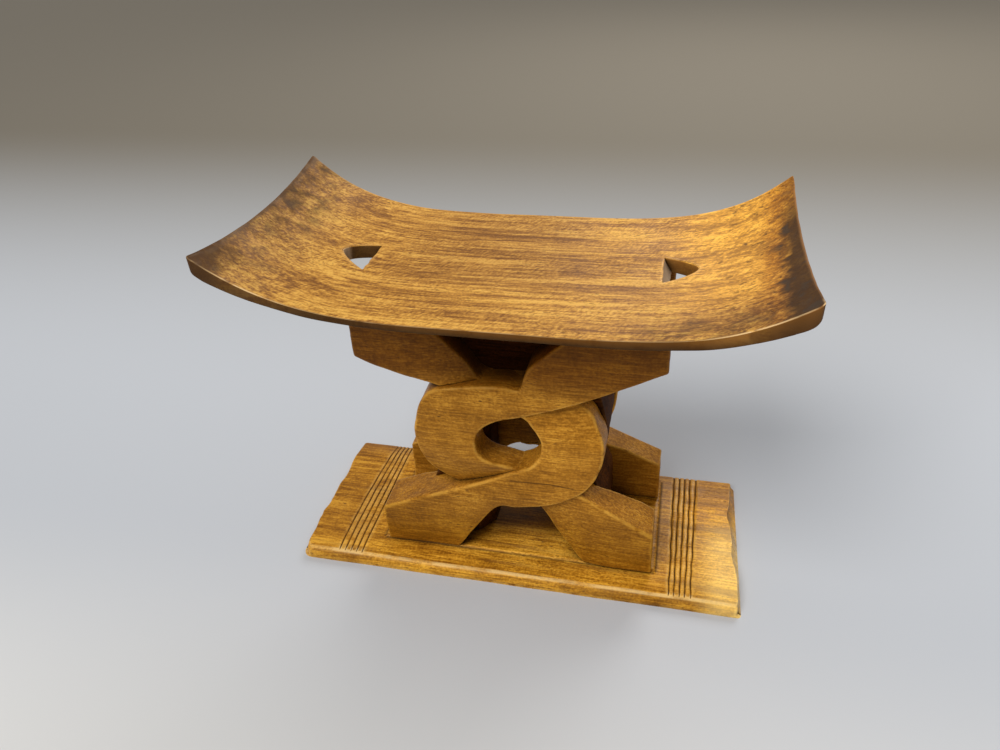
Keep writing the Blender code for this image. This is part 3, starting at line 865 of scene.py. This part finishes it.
class Graph:
    """A material's nodes, with short ways to add the kinds used here."""

    def __init__(self, name):
        self.material = bpy.data.materials.new(name)
        self.material.use_nodes = True
        self.nodes = self.material.node_tree.nodes
        self.links = self.material.node_tree.links
        self.shader = self.nodes["Principled BSDF"]

    def put(self, socket, value):
        """Set an input from a number, a colour or another node's output."""
        if isinstance(value, bpy.types.NodeSocket):
            self.links.new(value, socket)
        else:
            socket.default_value = value

    def add(self, kind, settings=None, **inputs):
        """Add a node; inputs are named with _ for a space."""
        node = self.nodes.new(kind)
        for name, value in (settings or {}).items():
            setattr(node, name, value)
        for name, value in inputs.items():
            self.put(node.inputs[name.replace("_", " ")], value)
        return node

    def feed(self, node, values):
        """Set a node's first inputs, and return its first output."""
        for index, value in enumerate(values):
            self.put(node.inputs[index], value)
        return node.outputs[0]

    def calc(self, operation, *values):
        """Return the output of a maths node."""
        return self.feed(self.add("ShaderNodeMath", {"operation": operation}), values)

    def vector(self, operation, *values):
        """Return the output of a vector maths node."""
        return self.feed(self.add("ShaderNodeVectorMath", {"operation": operation}), values)

    def times(self, first, *others):
        """Return the product of these values."""
        for value in others:
            first = self.calc("MULTIPLY", first, value)
        return first

    def most(self, first, *others):
        """Return the greatest of these values."""
        for value in others:
            first = self.calc("MAXIMUM", first, value)
        return first

    def total(self, start, terms):
        """Return a number plus each term's value times its weight."""
        for value, weight in terms:
            start = self.calc("MULTIPLY_ADD", value, weight, start)
        return start

    def parts(self, vector):
        """Return the three parts of a vector."""
        return tuple(self.add("ShaderNodeSeparateXYZ", Vector=vector).outputs)

    def facing(self):
        """Return how much the surface faces along x, y and z."""
        return self.parts(self.add("ShaderNodeNewGeometry").outputs["Normal"])

    def stretch(self, place, scale, turn=0.0, shift=0.0):
        """Return a place turned about Z, then scaled along each axis."""
        if turn:
            node = self.add("ShaderNodeMapping", Vector=place, Rotation=(0, 0, turn))
            place = node.outputs[0]
        node = self.add("ShaderNodeMapping", Vector=place, Scale=scale,
                        Location=(shift, shift, shift))
        return node.outputs[0]

    def cloud(self, place, scale, detail=3.0, distortion=0.0):
        """Return a noise from 0 to 1."""
        node = self.add("ShaderNodeTexNoise", Vector=place, Scale=scale, Detail=detail,
                        Distortion=distortion)
        return node.outputs["Fac"]

    def streaks(self, place, along, across, detail, shift=0.0):
        """Return a noise drawn out along x, with this many patches to a metre each way."""
        place = self.stretch(place, (along, across, across), shift=shift)
        return self.cloud(place, 1.0, detail)

    def line(self, value, low, high, start, end, easing="LINEAR"):
        """Return a value that goes from start to end as another goes from low to high."""
        node = self.add("ShaderNodeMapRange", {"interpolation_type": easing}, Value=value,
                        From_Min=low, From_Max=high, To_Min=start, To_Max=end)
        return node.outputs[0]

    def span(self, value, low, high, start=0.0, end=1.0):
        """Return the same as line does, but eased at both ends."""
        return self.line(value, low, high, start, end, "SMOOTHSTEP")

    def zone(self, *limits):
        """Return where all these limits hold, each given as span takes it."""
        return self.times(*[self.span(*limit) for limit in limits])

    def hollow(self, reach, *limits):
        """Return how closed in the surface is by what stands within this reach."""
        node = self.add("ShaderNodeAmbientOcclusion", {"samples": 8}, Distance=reach)
        return self.span(node.outputs["AO"], *limits)

    def blend(self, amount, a, b, kind="MIX"):
        """Return a mix of two colours."""
        node = self.add("ShaderNodeMix", {"data_type": "RGBA", "blend_type": kind})
        for index, value in ((0, amount), (6, a), (7, b)):
            if index > 0 and not isinstance(value, bpy.types.NodeSocket):
                value = (*value, 1.0)
            self.put(node.inputs[index], value)
        return node.outputs[2]

    def paint(self, colour, where, tone, strength):
        """Return a colour with a tone over it in a zone, this strongly."""
        return self.blend(self.times(where, strength), colour, tone)

    def tint(self, colour, where, factors):
        """Return a colour whose red, green and blue are multiplied in a zone."""
        return self.blend(where, colour, factors, "MULTIPLY")

    def ramp(self, value, stops):
        """Return a colour from a ramp of places and colours."""
        node = self.add("ShaderNodeValToRGB", Fac=value)
        elements = node.color_ramp.elements
        while len(elements) < len(stops):
            elements.new(0.5)
        for element, (place, colour) in zip(elements, stops):
            element.position = place
            element.color = (*colour, 1.0)
        return node.outputs[0]

    def layer(self, name):
        """Return a value that is stored at the mesh's points."""
        return self.add("ShaderNodeAttribute", {"attribute_name": name}).outputs["Fac"]


def drifting_place(graph, place):
    """Return places that drift from side to side along x, so that no grain line is straight."""
    drift = graph.add("ShaderNodeTexNoise", Vector=graph.stretch(place, (2.5, 9, 9)), Scale=1.0,
                      Detail=2.0).outputs["Color"]
    centred = graph.vector("SUBTRACT", drift, (0.5, 0.5, 0.5))
    return graph.vector("MULTIPLY_ADD", centred, (0.0, grain_drift, grain_drift), place)


def wood(name, tones, wear_and_highlight_tone, ripple, streak, mottle, gloss, shine, stains_and_light):
    """Return a carved wood material, with its grain along x.

    Ripple, streak and mottle are how much its tone varies in bars, along the grain and in
    patches. Gloss is its least roughness, and shine its specular level.
    """
    graph = Graph(name)
    place = graph.add("ShaderNodeTexCoord").outputs["Object"]
    grain = drifting_place(graph, place)
    broad = graph.streaks(grain, along=3.5, across=50, detail=3.0)
    middle = graph.streaks(grain, along=9.0, across=240, detail=4.0, shift=3.0)
    fine = graph.streaks(grain, along=45, across=640, detail=3.0, shift=7.0)
    dots = graph.streaks(grain, along=230, across=800, detail=2.0, shift=1.0)
    patch = graph.cloud(place, scale=26.0, detail=5.0)
    speckle = graph.cloud(place, scale=420.0, detail=2.0)
    weights = [(broad, 0.34 * streak), (middle, 0.36 * streak), (fine, 0.30), (speckle, 0.18),
               (patch, mottle)]
    tone = graph.total(0.5 - sum(weight for _, weight in weights) / 2, weights)

    bars = graph.cloud(graph.stretch(place, (380, 110, 110), turn=0.52), scale=1.0, detail=1.5,
                       distortion=0.2)
    barred = graph.streaks(place, along=7, across=30, detail=2.0, shift=9.0)
    barred = graph.span(barred, 0.36, 0.62)
    bars = graph.times(graph.calc("SUBTRACT", bars, 0.5), barred)
    tone = graph.total(tone, [(bars, ripple)])
    colour = graph.ramp(tone, list(zip(tone_stops, tones)))

    dashes = graph.zone((dots, 0.54, 0.68), (patch, 0.38, 0.58))
    colour = graph.paint(colour, dashes, tones[0], strength=0.75)
    flecks = graph.add("ShaderNodeTexVoronoi", Vector=graph.stretch(place, (60, 150, 150)),
                       Scale=1.0, Randomness=1.0).outputs["Distance"]
    rare = graph.cloud(place, scale=26.0, detail=2.0)
    flecks = graph.zone((flecks, 0.18, 0.06), (rare, 0.52, 0.64))
    colour = graph.paint(colour, flecks, fleck_tone, strength=0.75)

    ragged = graph.cloud(place, scale=60.0, detail=4.0)
    # Rubbed edges turn lighter: partly wear, partly painted highlight along the edges.
    worn = graph.times(graph.layer("worn"), graph.span(ragged, 0.34, 0.58))
    colour = graph.paint(colour, worn, wear_and_highlight_tone, strength=0.55)
    # The piece's own stains, with painted light and painted shade in fixed places.
    colour, stain_and_shade = stains_and_light(graph, place, colour)
    # Creases darken: partly grime, partly painted shade where the surface is closed in within 20
    # mm.
    grime_and_crease_shade = graph.most(graph.layer("grimy"), graph.hollow(0.020, 0.66, 0.12, 0.0, 0.85))
    grime_and_crease_shade = graph.times(grime_and_crease_shade, graph.span(ragged, 0.15, 0.60, 0.55, 1.0))
    colour = graph.paint(colour, grime_and_crease_shade, grime_and_shade_tone, strength=0.90)
    # Painted shade: deep hollows within 55 mm, under the seat and between the knots, turn nearly
    # black.
    pocket_shade = graph.hollow(0.055, 0.55, 0.20, 0.0, 0.85)
    graph.put(graph.shader.inputs["Base Color"], graph.blend(pocket_shade, colour, pocket_shade_tone))

    rough = graph.total(gloss, [(middle, 0.20), (grime_and_crease_shade, 0.25), (stain_and_shade, 0.25), (worn, -0.10),
                                (patch, 0.14)])
    graph.put(graph.shader.inputs["Roughness"], graph.calc("MINIMUM", rough, 1.0))
    graph.shader.inputs["Specular IOR Level"].default_value = shine
    graph.shader.inputs["Specular Tint"].default_value = (*shine_tint, 1.0)
    height = graph.total(0.0, [(middle, 0.5), (fine, 0.35), (bars, 0.5 * ripple),
                               (dashes, -0.35), (flecks, -0.5)])
    bump = graph.add("ShaderNodeBump", Height=height, Distance=grain_relief, Strength=0.6)
    graph.put(graph.shader.inputs["Normal"], bump.outputs[0])
    return graph.material


def seat_stains_and_painted_light(graph, place, colour):
    """Return the seat's colour with its darker stained ends, painted light and sheen on its right,
    painted shade on its front and sides, and a mask of its stains and painted shade.
    """
    x, y, _ = graph.parts(place)
    facing_x, facing_y, facing_up = graph.facing()
    from_middle = graph.calc("ABSOLUTE", x)
    worn = graph.layer("worn")
    mottle = graph.cloud(place, scale=60.0, detail=6.0, distortion=0.5)
    wide = graph.cloud(place, scale=14.0, detail=3.0)

    dim_middle = graph.zone((x, -0.16, -0.06), (x, 0.10, 0.03), (y, -0.060, -0.010))
    colour = graph.tint(colour, dim_middle, (0.84, 0.82, 0.86))
    # Painted light: the right of the seat is painted lighter and warmer where it turns towards the
    # light.
    painted_light_right = graph.zone((x, 0.13, 0.19), (y, -0.090, -0.040))
    colour = graph.paint(colour, painted_light_right, (0.95, 0.56, 0.12), strength=0.12)
    colour = graph.tint(colour, painted_light_right, (1.26, 1.22, 0.96))
    # Painted sheen: the rear right of the seat is painted lighter.
    painted_sheen_rear = graph.zone((x, 0.02, 0.10), (y, 0.00, 0.06))
    colour = graph.tint(colour, painted_sheen_rear, (1.08, 1.08, 0.96))

    left = graph.zone((x, -0.185, -0.245), (mottle, 0.36, 0.62, 0.25, 0.8),
                      (wide, 0.36, 0.62, 0.60, 1.0), (y, -0.10, 0.06, 0.50, 1.20))
    left_tip = graph.zone((x, -0.220, -0.248), (y, -0.050, -0.095),
                          (mottle, 0.34, 0.52, 0.5, 1.0))
    toward_right = graph.total(x, [(y, -0.06)])
    brown_right = graph.zone((toward_right, 0.212, 0.238), (mottle, 0.34, 0.58, 0.5, 1.0))
    colour = graph.tint(colour, brown_right, (0.62, 0.48, 0.28))
    ragged = graph.total(toward_right, [(mottle, 0.030)])
    right = graph.zone((ragged, 0.246, 0.262), (y, 0.115, 0.040, 0.45, 1.0))
    spots = graph.streaks(place, along=110, across=160, detail=3.0)
    spots = graph.zone((x, 0.15, 0.215), (spots, 0.60, 0.66, 0.0, 0.6))
    front = graph.zone((x, 0.10, 0.17), (y, -0.070, -0.105), (mottle, 0.36, 0.60, 0.1, 0.45))
    stain = graph.most(left, left_tip, right, spots, front)
    # Stain tone, darker on the right: painted shade that offsets the stronger light on the right
    # end.
    dark = graph.blend(graph.span(x, 0.0, 0.1), (0.082, 0.038, 0.015), (0.040, 0.019, 0.008))
    colour = graph.paint(colour, stain, dark, strength=0.92)
    grey = graph.times(graph.span(mottle, 0.54, 0.66), stain)
    colour = graph.paint(colour, grey, (0.050, 0.036, 0.026), strength=0.6)

    right_edge = graph.times(worn, graph.span(x, 0.240, 0.250))
    colour = graph.paint(colour, right_edge, (0.420, 0.190, 0.060), strength=0.5)
    # Painted highlight: a pale line along the worn front top edge.
    front_edge_highlight = graph.zone((y, -0.115, -0.122), (facing_up, 0.70, 0.86),
                            (facing_up, 0.98, 0.92), (mottle, 0.30, 0.50, 0.3, 1.0))
    colour = graph.paint(colour, graph.times(worn, front_edge_highlight), (0.880, 0.610, 0.300),
                         strength=0.8)
    rim = graph.most(graph.span(facing_x, 0.50, 0.80), graph.span(x, -0.2500, -0.2540))
    rim = graph.times(rim, graph.span(from_middle, 0.20, 0.21))
    colour = graph.paint(colour, rim, (0.090, 0.038, 0.013), strength=0.8)
    hole_wall = graph.zone((facing_x, 0.60, 0.90), (x, 0.20, 0.19))
    colour = graph.paint(colour, hole_wall, (0.560, 0.430, 0.300), strength=0.8)

    # Painted shade: faces turned to the front, or towards -x left of x = 0.19, take a dark tone,
    # darker towards the left and darkest where they turn down.
    side = graph.most(graph.span(facing_y, -0.50, -0.72),
                      graph.zone((facing_x, -0.45, -0.80), (x, 0.20, 0.19)))
    shade = graph.blend(graph.span(x, -0.16, 0.02), (0.085, 0.036, 0.012), (0.270, 0.108, 0.020))
    shade = graph.blend(graph.span(facing_up, 0.30, -0.30), shade, (0.055, 0.024, 0.008))
    colour = graph.paint(colour, side, shade, strength=0.88)
    # Painted shade: the seat's front face is darkened over its middle.
    front_face_shade = graph.zone((y, -0.1232, -0.1243), (from_middle, 0.21, 0.15))
    colour = graph.tint(colour, front_face_shade, (0.46, 0.42, 0.38))
    return colour, graph.most(stain, side, front_face_shade)


def base_stains_and_painted_light(graph, place, colour):
    """Return the base's colour with darker bands, painted sheen on its right end, painted light
    between the feet, a painted highlight along its front edge and painted shade under the core and
    along its rear; and where that painted shade falls.
    """
    x, y, _ = graph.parts(place)
    facing_up = graph.facing()[2]
    from_middle = graph.calc("ABSOLUTE", x)

    bands = graph.streaks(place, along=6, across=60, detail=3.0, shift=2.0)
    dark = graph.most(graph.span(bands, 0.54, 0.70, 0.0, 0.55),
                      graph.span(x, -0.15, -0.20, 0.0, 0.25))
    colour = graph.blend(dark, colour, (0.20, 0.088, 0.020))
    # Painted sheen: the front of the right end is painted lighter and paler.
    painted_sheen_right_end = graph.zone((x, 0.19, 0.23), (y, 0.06, -0.02))
    colour = graph.paint(colour, painted_sheen_right_end, (0.95, 0.62, 0.20), strength=0.20)
    colour = graph.tint(colour, painted_sheen_right_end, (1.50, 1.75, 2.20))
    front_rim = graph.zone((y, -0.070, -0.085), (x, 0.16, 0.10))
    colour = graph.tint(colour, front_rim, (1.20, 1.24, 1.22))
    rear_right = graph.zone((x, 0.17, 0.20), (y, -0.02, 0.04))
    colour = graph.tint(colour, rear_right, (1.22, 1.16, 0.85))
    # Painted light: the platform between the front feet is painted lighter.
    painted_light_between_feet = graph.zone((from_middle, 0.10, 0.05), (y, 0.02, -0.03), (y, -0.090, -0.066))
    colour = graph.tint(colour, painted_light_between_feet, (1.20, 1.26, 1.45))
    # Painted shade: the platform under the core, behind the front feet, is painted nearly black.
    painted_shade_under_core = graph.zone((y, -0.036, -0.018), (from_middle, 0.10, 0.07), (y, 0.060, 0.040))
    colour = graph.tint(colour, painted_shade_under_core, (0.26, 0.20, 0.12))
    broken = graph.cloud(place, scale=40.0, detail=3.0)
    # Painted highlight: a broken bright line along the front rolled edge.
    front_edge_highlight = graph.zone((facing_up, 0.74, 0.86), (facing_up, 0.98, 0.94), (y, -0.084, -0.090),
                            (broken, 0.34, 0.56, 0.3, 1.0))
    colour = graph.paint(colour, front_edge_highlight, (0.950, 0.690, 0.300), strength=0.55)
    # Painted shade: the rear slope is darkened towards the back edge.
    rear = graph.span(y, 0.060, 0.096, 0.0, 0.35)
    colour = graph.blend(rear, colour, (0.22, 0.10, 0.035))
    return colour, graph.most(rear, painted_shade_under_core)


def knot_stains_and_painted_shade(graph, place, colour):
    """Return the knots' colour with painted shade: darker on the arms under the seat, and darkest
    between them and the core.
    """
    x, y, z = graph.parts(place)
    # Painted shade: the arms under the seat are painted darker.
    arms = graph.span(z, 0.236, 0.272)
    feet = graph.zone((z, 0.096, 0.060), (y, 0.02, 0.0))
    right_loop = graph.zone((x, 0.00, 0.045), (z, 0.090, 0.120), (z, 0.255, 0.225))
    colour = graph.tint(colour, right_loop, (1.18, 1.19, 1.20))
    colour = graph.tint(colour, arms, (0.46, 0.37, 0.22))
    colour = graph.tint(colour, feet, (0.80, 0.76, 0.48))

    (start, start_height), (bend, bend_height), (end, end_height) = crack_route
    height = graph.calc("ADD", graph.line(x, start, bend, start_height, bend_height),
                        graph.line(x, bend, end, 0.0, end_height - bend_height))
    wobble = graph.calc("SUBTRACT", graph.cloud(place, scale=90.0, detail=2.0), 0.5)
    height = graph.total(height, [(wobble, crack_wobble)])
    away = graph.calc("ABSOLUTE", graph.calc("SUBTRACT", z, height))
    crack = graph.zone((away, 0.0008, 0.0003), (x, -0.006, 0.004), (x, 0.074, 0.066),
                       (y, -0.060, -0.064))
    colour = graph.paint(colour, crack, (0.050, 0.020, 0.004), strength=0.8)

    # Painted shade: the hollow between the upper arms, under the seat, is painted nearly black.
    inside = graph.zone((graph.calc("ABSOLUTE", y), 0.070, 0.046), (z, 0.246, 0.254),
                        (graph.calc("ABSOLUTE", x), 0.085, 0.060))
    colour = graph.paint(colour, inside, pocket_shade_tone, strength=0.85)
    return colour, graph.total(0.0, [(inside, 0.8), (arms, 0.3)])


def core_painted_shade(graph, place, colour):
    """Return the core's colour with painted shade, darkest between the knots' upper arms, and where
    that painted shade falls.
    """
    x, _, z = graph.parts(place)
    # Painted shade on the core between the upper arms.
    dark = graph.zone((z, 0.215, 0.240), (graph.calc("ABSOLUTE", x), 0.080, 0.060))
    return graph.tint(colour, dark, (0.42, 0.38, 0.45)), dark


def make_woods():
    """Return the materials of the seat, the base, the knots and the core."""
    seat_wood = wood("seat_wood_looks", tones=((0.210, 0.078, 0.011), (0.400, 0.175, 0.025),
                                               (0.580, 0.275, 0.043), (0.780, 0.425, 0.078)),
                     wear_and_highlight_tone=(0.78, 0.43, 0.13), ripple=0.24, streak=0.95, mottle=0.12,
                     gloss=0.28, shine=0.20, stains_and_light=seat_stains_and_painted_light)
    base_wood = wood("base_wood_looks", tones=((0.180, 0.064, 0.004), (0.350, 0.142, 0.009),
                                               (0.510, 0.225, 0.017), (0.690, 0.340, 0.033)),
                     wear_and_highlight_tone=(0.80, 0.45, 0.09), ripple=0.10, streak=0.70, mottle=0.22,
                     gloss=0.18, shine=0.22, stains_and_light=base_stains_and_painted_light)
    knot_wood = wood("knot_wood_looks", tones=((0.205, 0.078, 0.006), (0.315, 0.126, 0.010),
                                               (0.430, 0.183, 0.017), (0.580, 0.272, 0.030)),
                     wear_and_highlight_tone=(0.72, 0.38, 0.06), ripple=0.08, streak=0.40, mottle=0.26,
                     gloss=0.22, shine=0.20, stains_and_light=knot_stains_and_painted_shade)
    # The core's very dark tones are painted shade: it stands deep inside the knots.
    shaded_core_wood = wood("shaded_core_wood_looks", tones=((0.020, 0.006, 0.001), (0.042, 0.012, 0.002),
                                               (0.066, 0.019, 0.003), (0.095, 0.029, 0.004)),
                     wear_and_highlight_tone=(0.10, 0.04, 0.01), ripple=0.05, streak=0.80, mottle=0.20,
                     gloss=0.50, shine=0.04, stains_and_light=core_painted_shade)
    return seat_wood, base_wood, knot_wood, shaded_core_wood


def dress(item, node, material, sharp_angle=60, rounds=2, kept=None):
    """Give a piece its wood, and let it stand for the CAD node of this name."""
    mark_shape(item, rounds, kept)
    item.data.materials.clear()
    item.data.materials.append(material)
    item.data.shade_smooth()
    item.data.set_sharp_from_angle(angle=math.radians(sharp_angle))
    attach(item, "root")
    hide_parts(node)


def make_pieces():
    """Build every visible piece and give it its wood."""
    seat_wood, base_wood, knot_wood, shaded_core_wood = make_woods()
    seat = slab("seat_slab", *seat_grids(lift_under=0.0, rise=0.0, steps_along=150,
                                         steps_across=76, uneven=1))
    cut(seat, [hole_cutter(*left_hole), hole_cutter(*right_hole)])
    base = slab("base_slab", *base_grids())

    depth = front_face - core_half_depth
    bands = knot(("front_left_band", "front_right_band"), front_face, 1,
                 left_loop_rib_shares, right_loop_rib_shares,
                 (depth, front_foot_depth), (front_foot_depth, depth))
    depth = rear_face - core_half_depth
    shift = rear_right_foot_extra / knot_half_span
    first = right_loop_rib_shares[0]
    moved = (first[0] - shift, first[1], first[2] - shift, *first[3:])
    bands += knot(("rear_right_band", "rear_left_band"), rear_face, -1,
                  left_loop_rib_shares, [moved, *right_loop_rib_shares[1:]],
                  (rear_leg_depth, depth), (rear_leg_depth, rear_leg_depth))
    walls = [core_wall("left_core", -1), core_wall("right_core", 1), core_lintel("top_core")]
    for item in (*bands, *walls):
        cut(item, [seat_cutter(), floor_cutter()])
        carve(item)

    dress(seat, "seat", seat_wood, sharp_angle=30)
    dress(base, "base", base_wood, sharp_angle=40, rounds=1, kept=beside_platform)
    for item, node in zip(bands, ("front_left_loop_band", "front_right_loop_band",
                                  "rear_right_loop_band", "rear_left_loop_band")):
        dress(item, node, knot_wood)
    for item, node in zip(walls, ("left_core_wall", "right_core_wall", "core_lintel")):
        dress(item, node, shaded_core_wood)


def make_stage():
    """Build the plain pale floor, painted lighter towards the camera as painted light, which turns
    warmer and darker far behind the stool.
    """
    mesh = bmesh.new()
    corners = ((-1, -1), (1, -1), (1, 1), (-1, 1))
    mesh.faces.new([mesh.verts.new((x * floor_half, y * floor_half, 0)) for x, y in corners])
    floor = add_object("floor", mesh)
    graph = Graph("floor_paper")
    depth = graph.parts(graph.add("ShaderNodeTexCoord").outputs["Object"])[1]
    # Painted light: the floor towards the camera is painted lighter.
    near = graph.span(depth, -0.05, -0.45)
    far = graph.span(depth, 0.15, 1.5)
    colour = graph.blend(near, floor_tone, floor_near_painted_light_tone)
    colour = graph.blend(far, colour, floor_far_tone)
    graph.put(graph.shader.inputs["Base Color"], colour)
    graph.shader.inputs["Roughness"].default_value = 0.9
    floor.data.materials.append(graph.material)


def add_light(name, kind, energy, colour, facing, **settings):
    """Add a light of this kind that faces this way."""
    light = bpy.data.lights.new(name, kind)
    light.energy = energy
    light.color = colour
    for setting, value in settings.items():
        setattr(light, setting, value)
    item = bpy.data.objects.new(name, light)
    item.rotation_mode = "QUATERNION"
    item.rotation_quaternion = facing.to_track_quat("-Z", "Y")
    bpy.context.scene.collection.objects.link(item)
    return item


def make_lights():
    """Light the stool from high in front on the left, with a weaker lamp behind it."""
    add_light("key", "SUN", energy=2.1, colour=(1.0, 0.98, 0.95),
              facing=Vector((0.36, 0.52, -0.80)), angle=math.radians(34))
    place = Vector((0.6, 2.6, 2.2))
    target = Vector((0, 0, 0.2))
    back = add_light("back", "AREA", energy=46, colour=(1.0, 0.97, 0.93),
                     facing=target - place, shape="SQUARE", size=1.5)
    back.location = place
    world = bpy.data.worlds.new("studio")
    world.use_nodes = True
    background = world.node_tree.nodes["Background"]
    background.inputs["Color"].default_value = (1.0, 1.0, 1.0, 1.0)
    background.inputs["Strength"].default_value = 0.36
    bpy.context.scene.world = world


def make_camera():
    """Set the camera where the photograph was taken from."""
    azimuth, elevation, tilt = (math.radians(angle) for angle in camera_angles)
    back = Vector((math.sin(azimuth) * math.cos(elevation),
                   -math.cos(azimuth) * math.cos(elevation), math.sin(elevation)))
    right = (-back).cross(Vector((0, 0, 1))).normalized()
    up = right.cross(-back)
    turned_right = math.cos(tilt) * right + math.sin(tilt) * up
    turned_up = -math.sin(tilt) * right + math.cos(tilt) * up
    camera = bpy.data.cameras.new("camera")
    camera.sensor_fit = "HORIZONTAL"
    camera.sensor_width = camera_sensor_width
    camera.lens = camera_lens
    camera.clip_start = 0.01
    item = bpy.data.objects.new("camera", camera)
    columns = (turned_right, turned_up, back, camera_place)
    item.matrix_world = Matrix([[column[row] for column in columns] for row in range(3)]
                               + [[0, 0, 0, 1]])
    bpy.context.scene.collection.objects.link(item)
    bpy.context.scene.camera = item


make_pieces()
make_stage()
make_lights()
make_camera()
bpy.context.scene.view_settings.view_transform = "Standard"
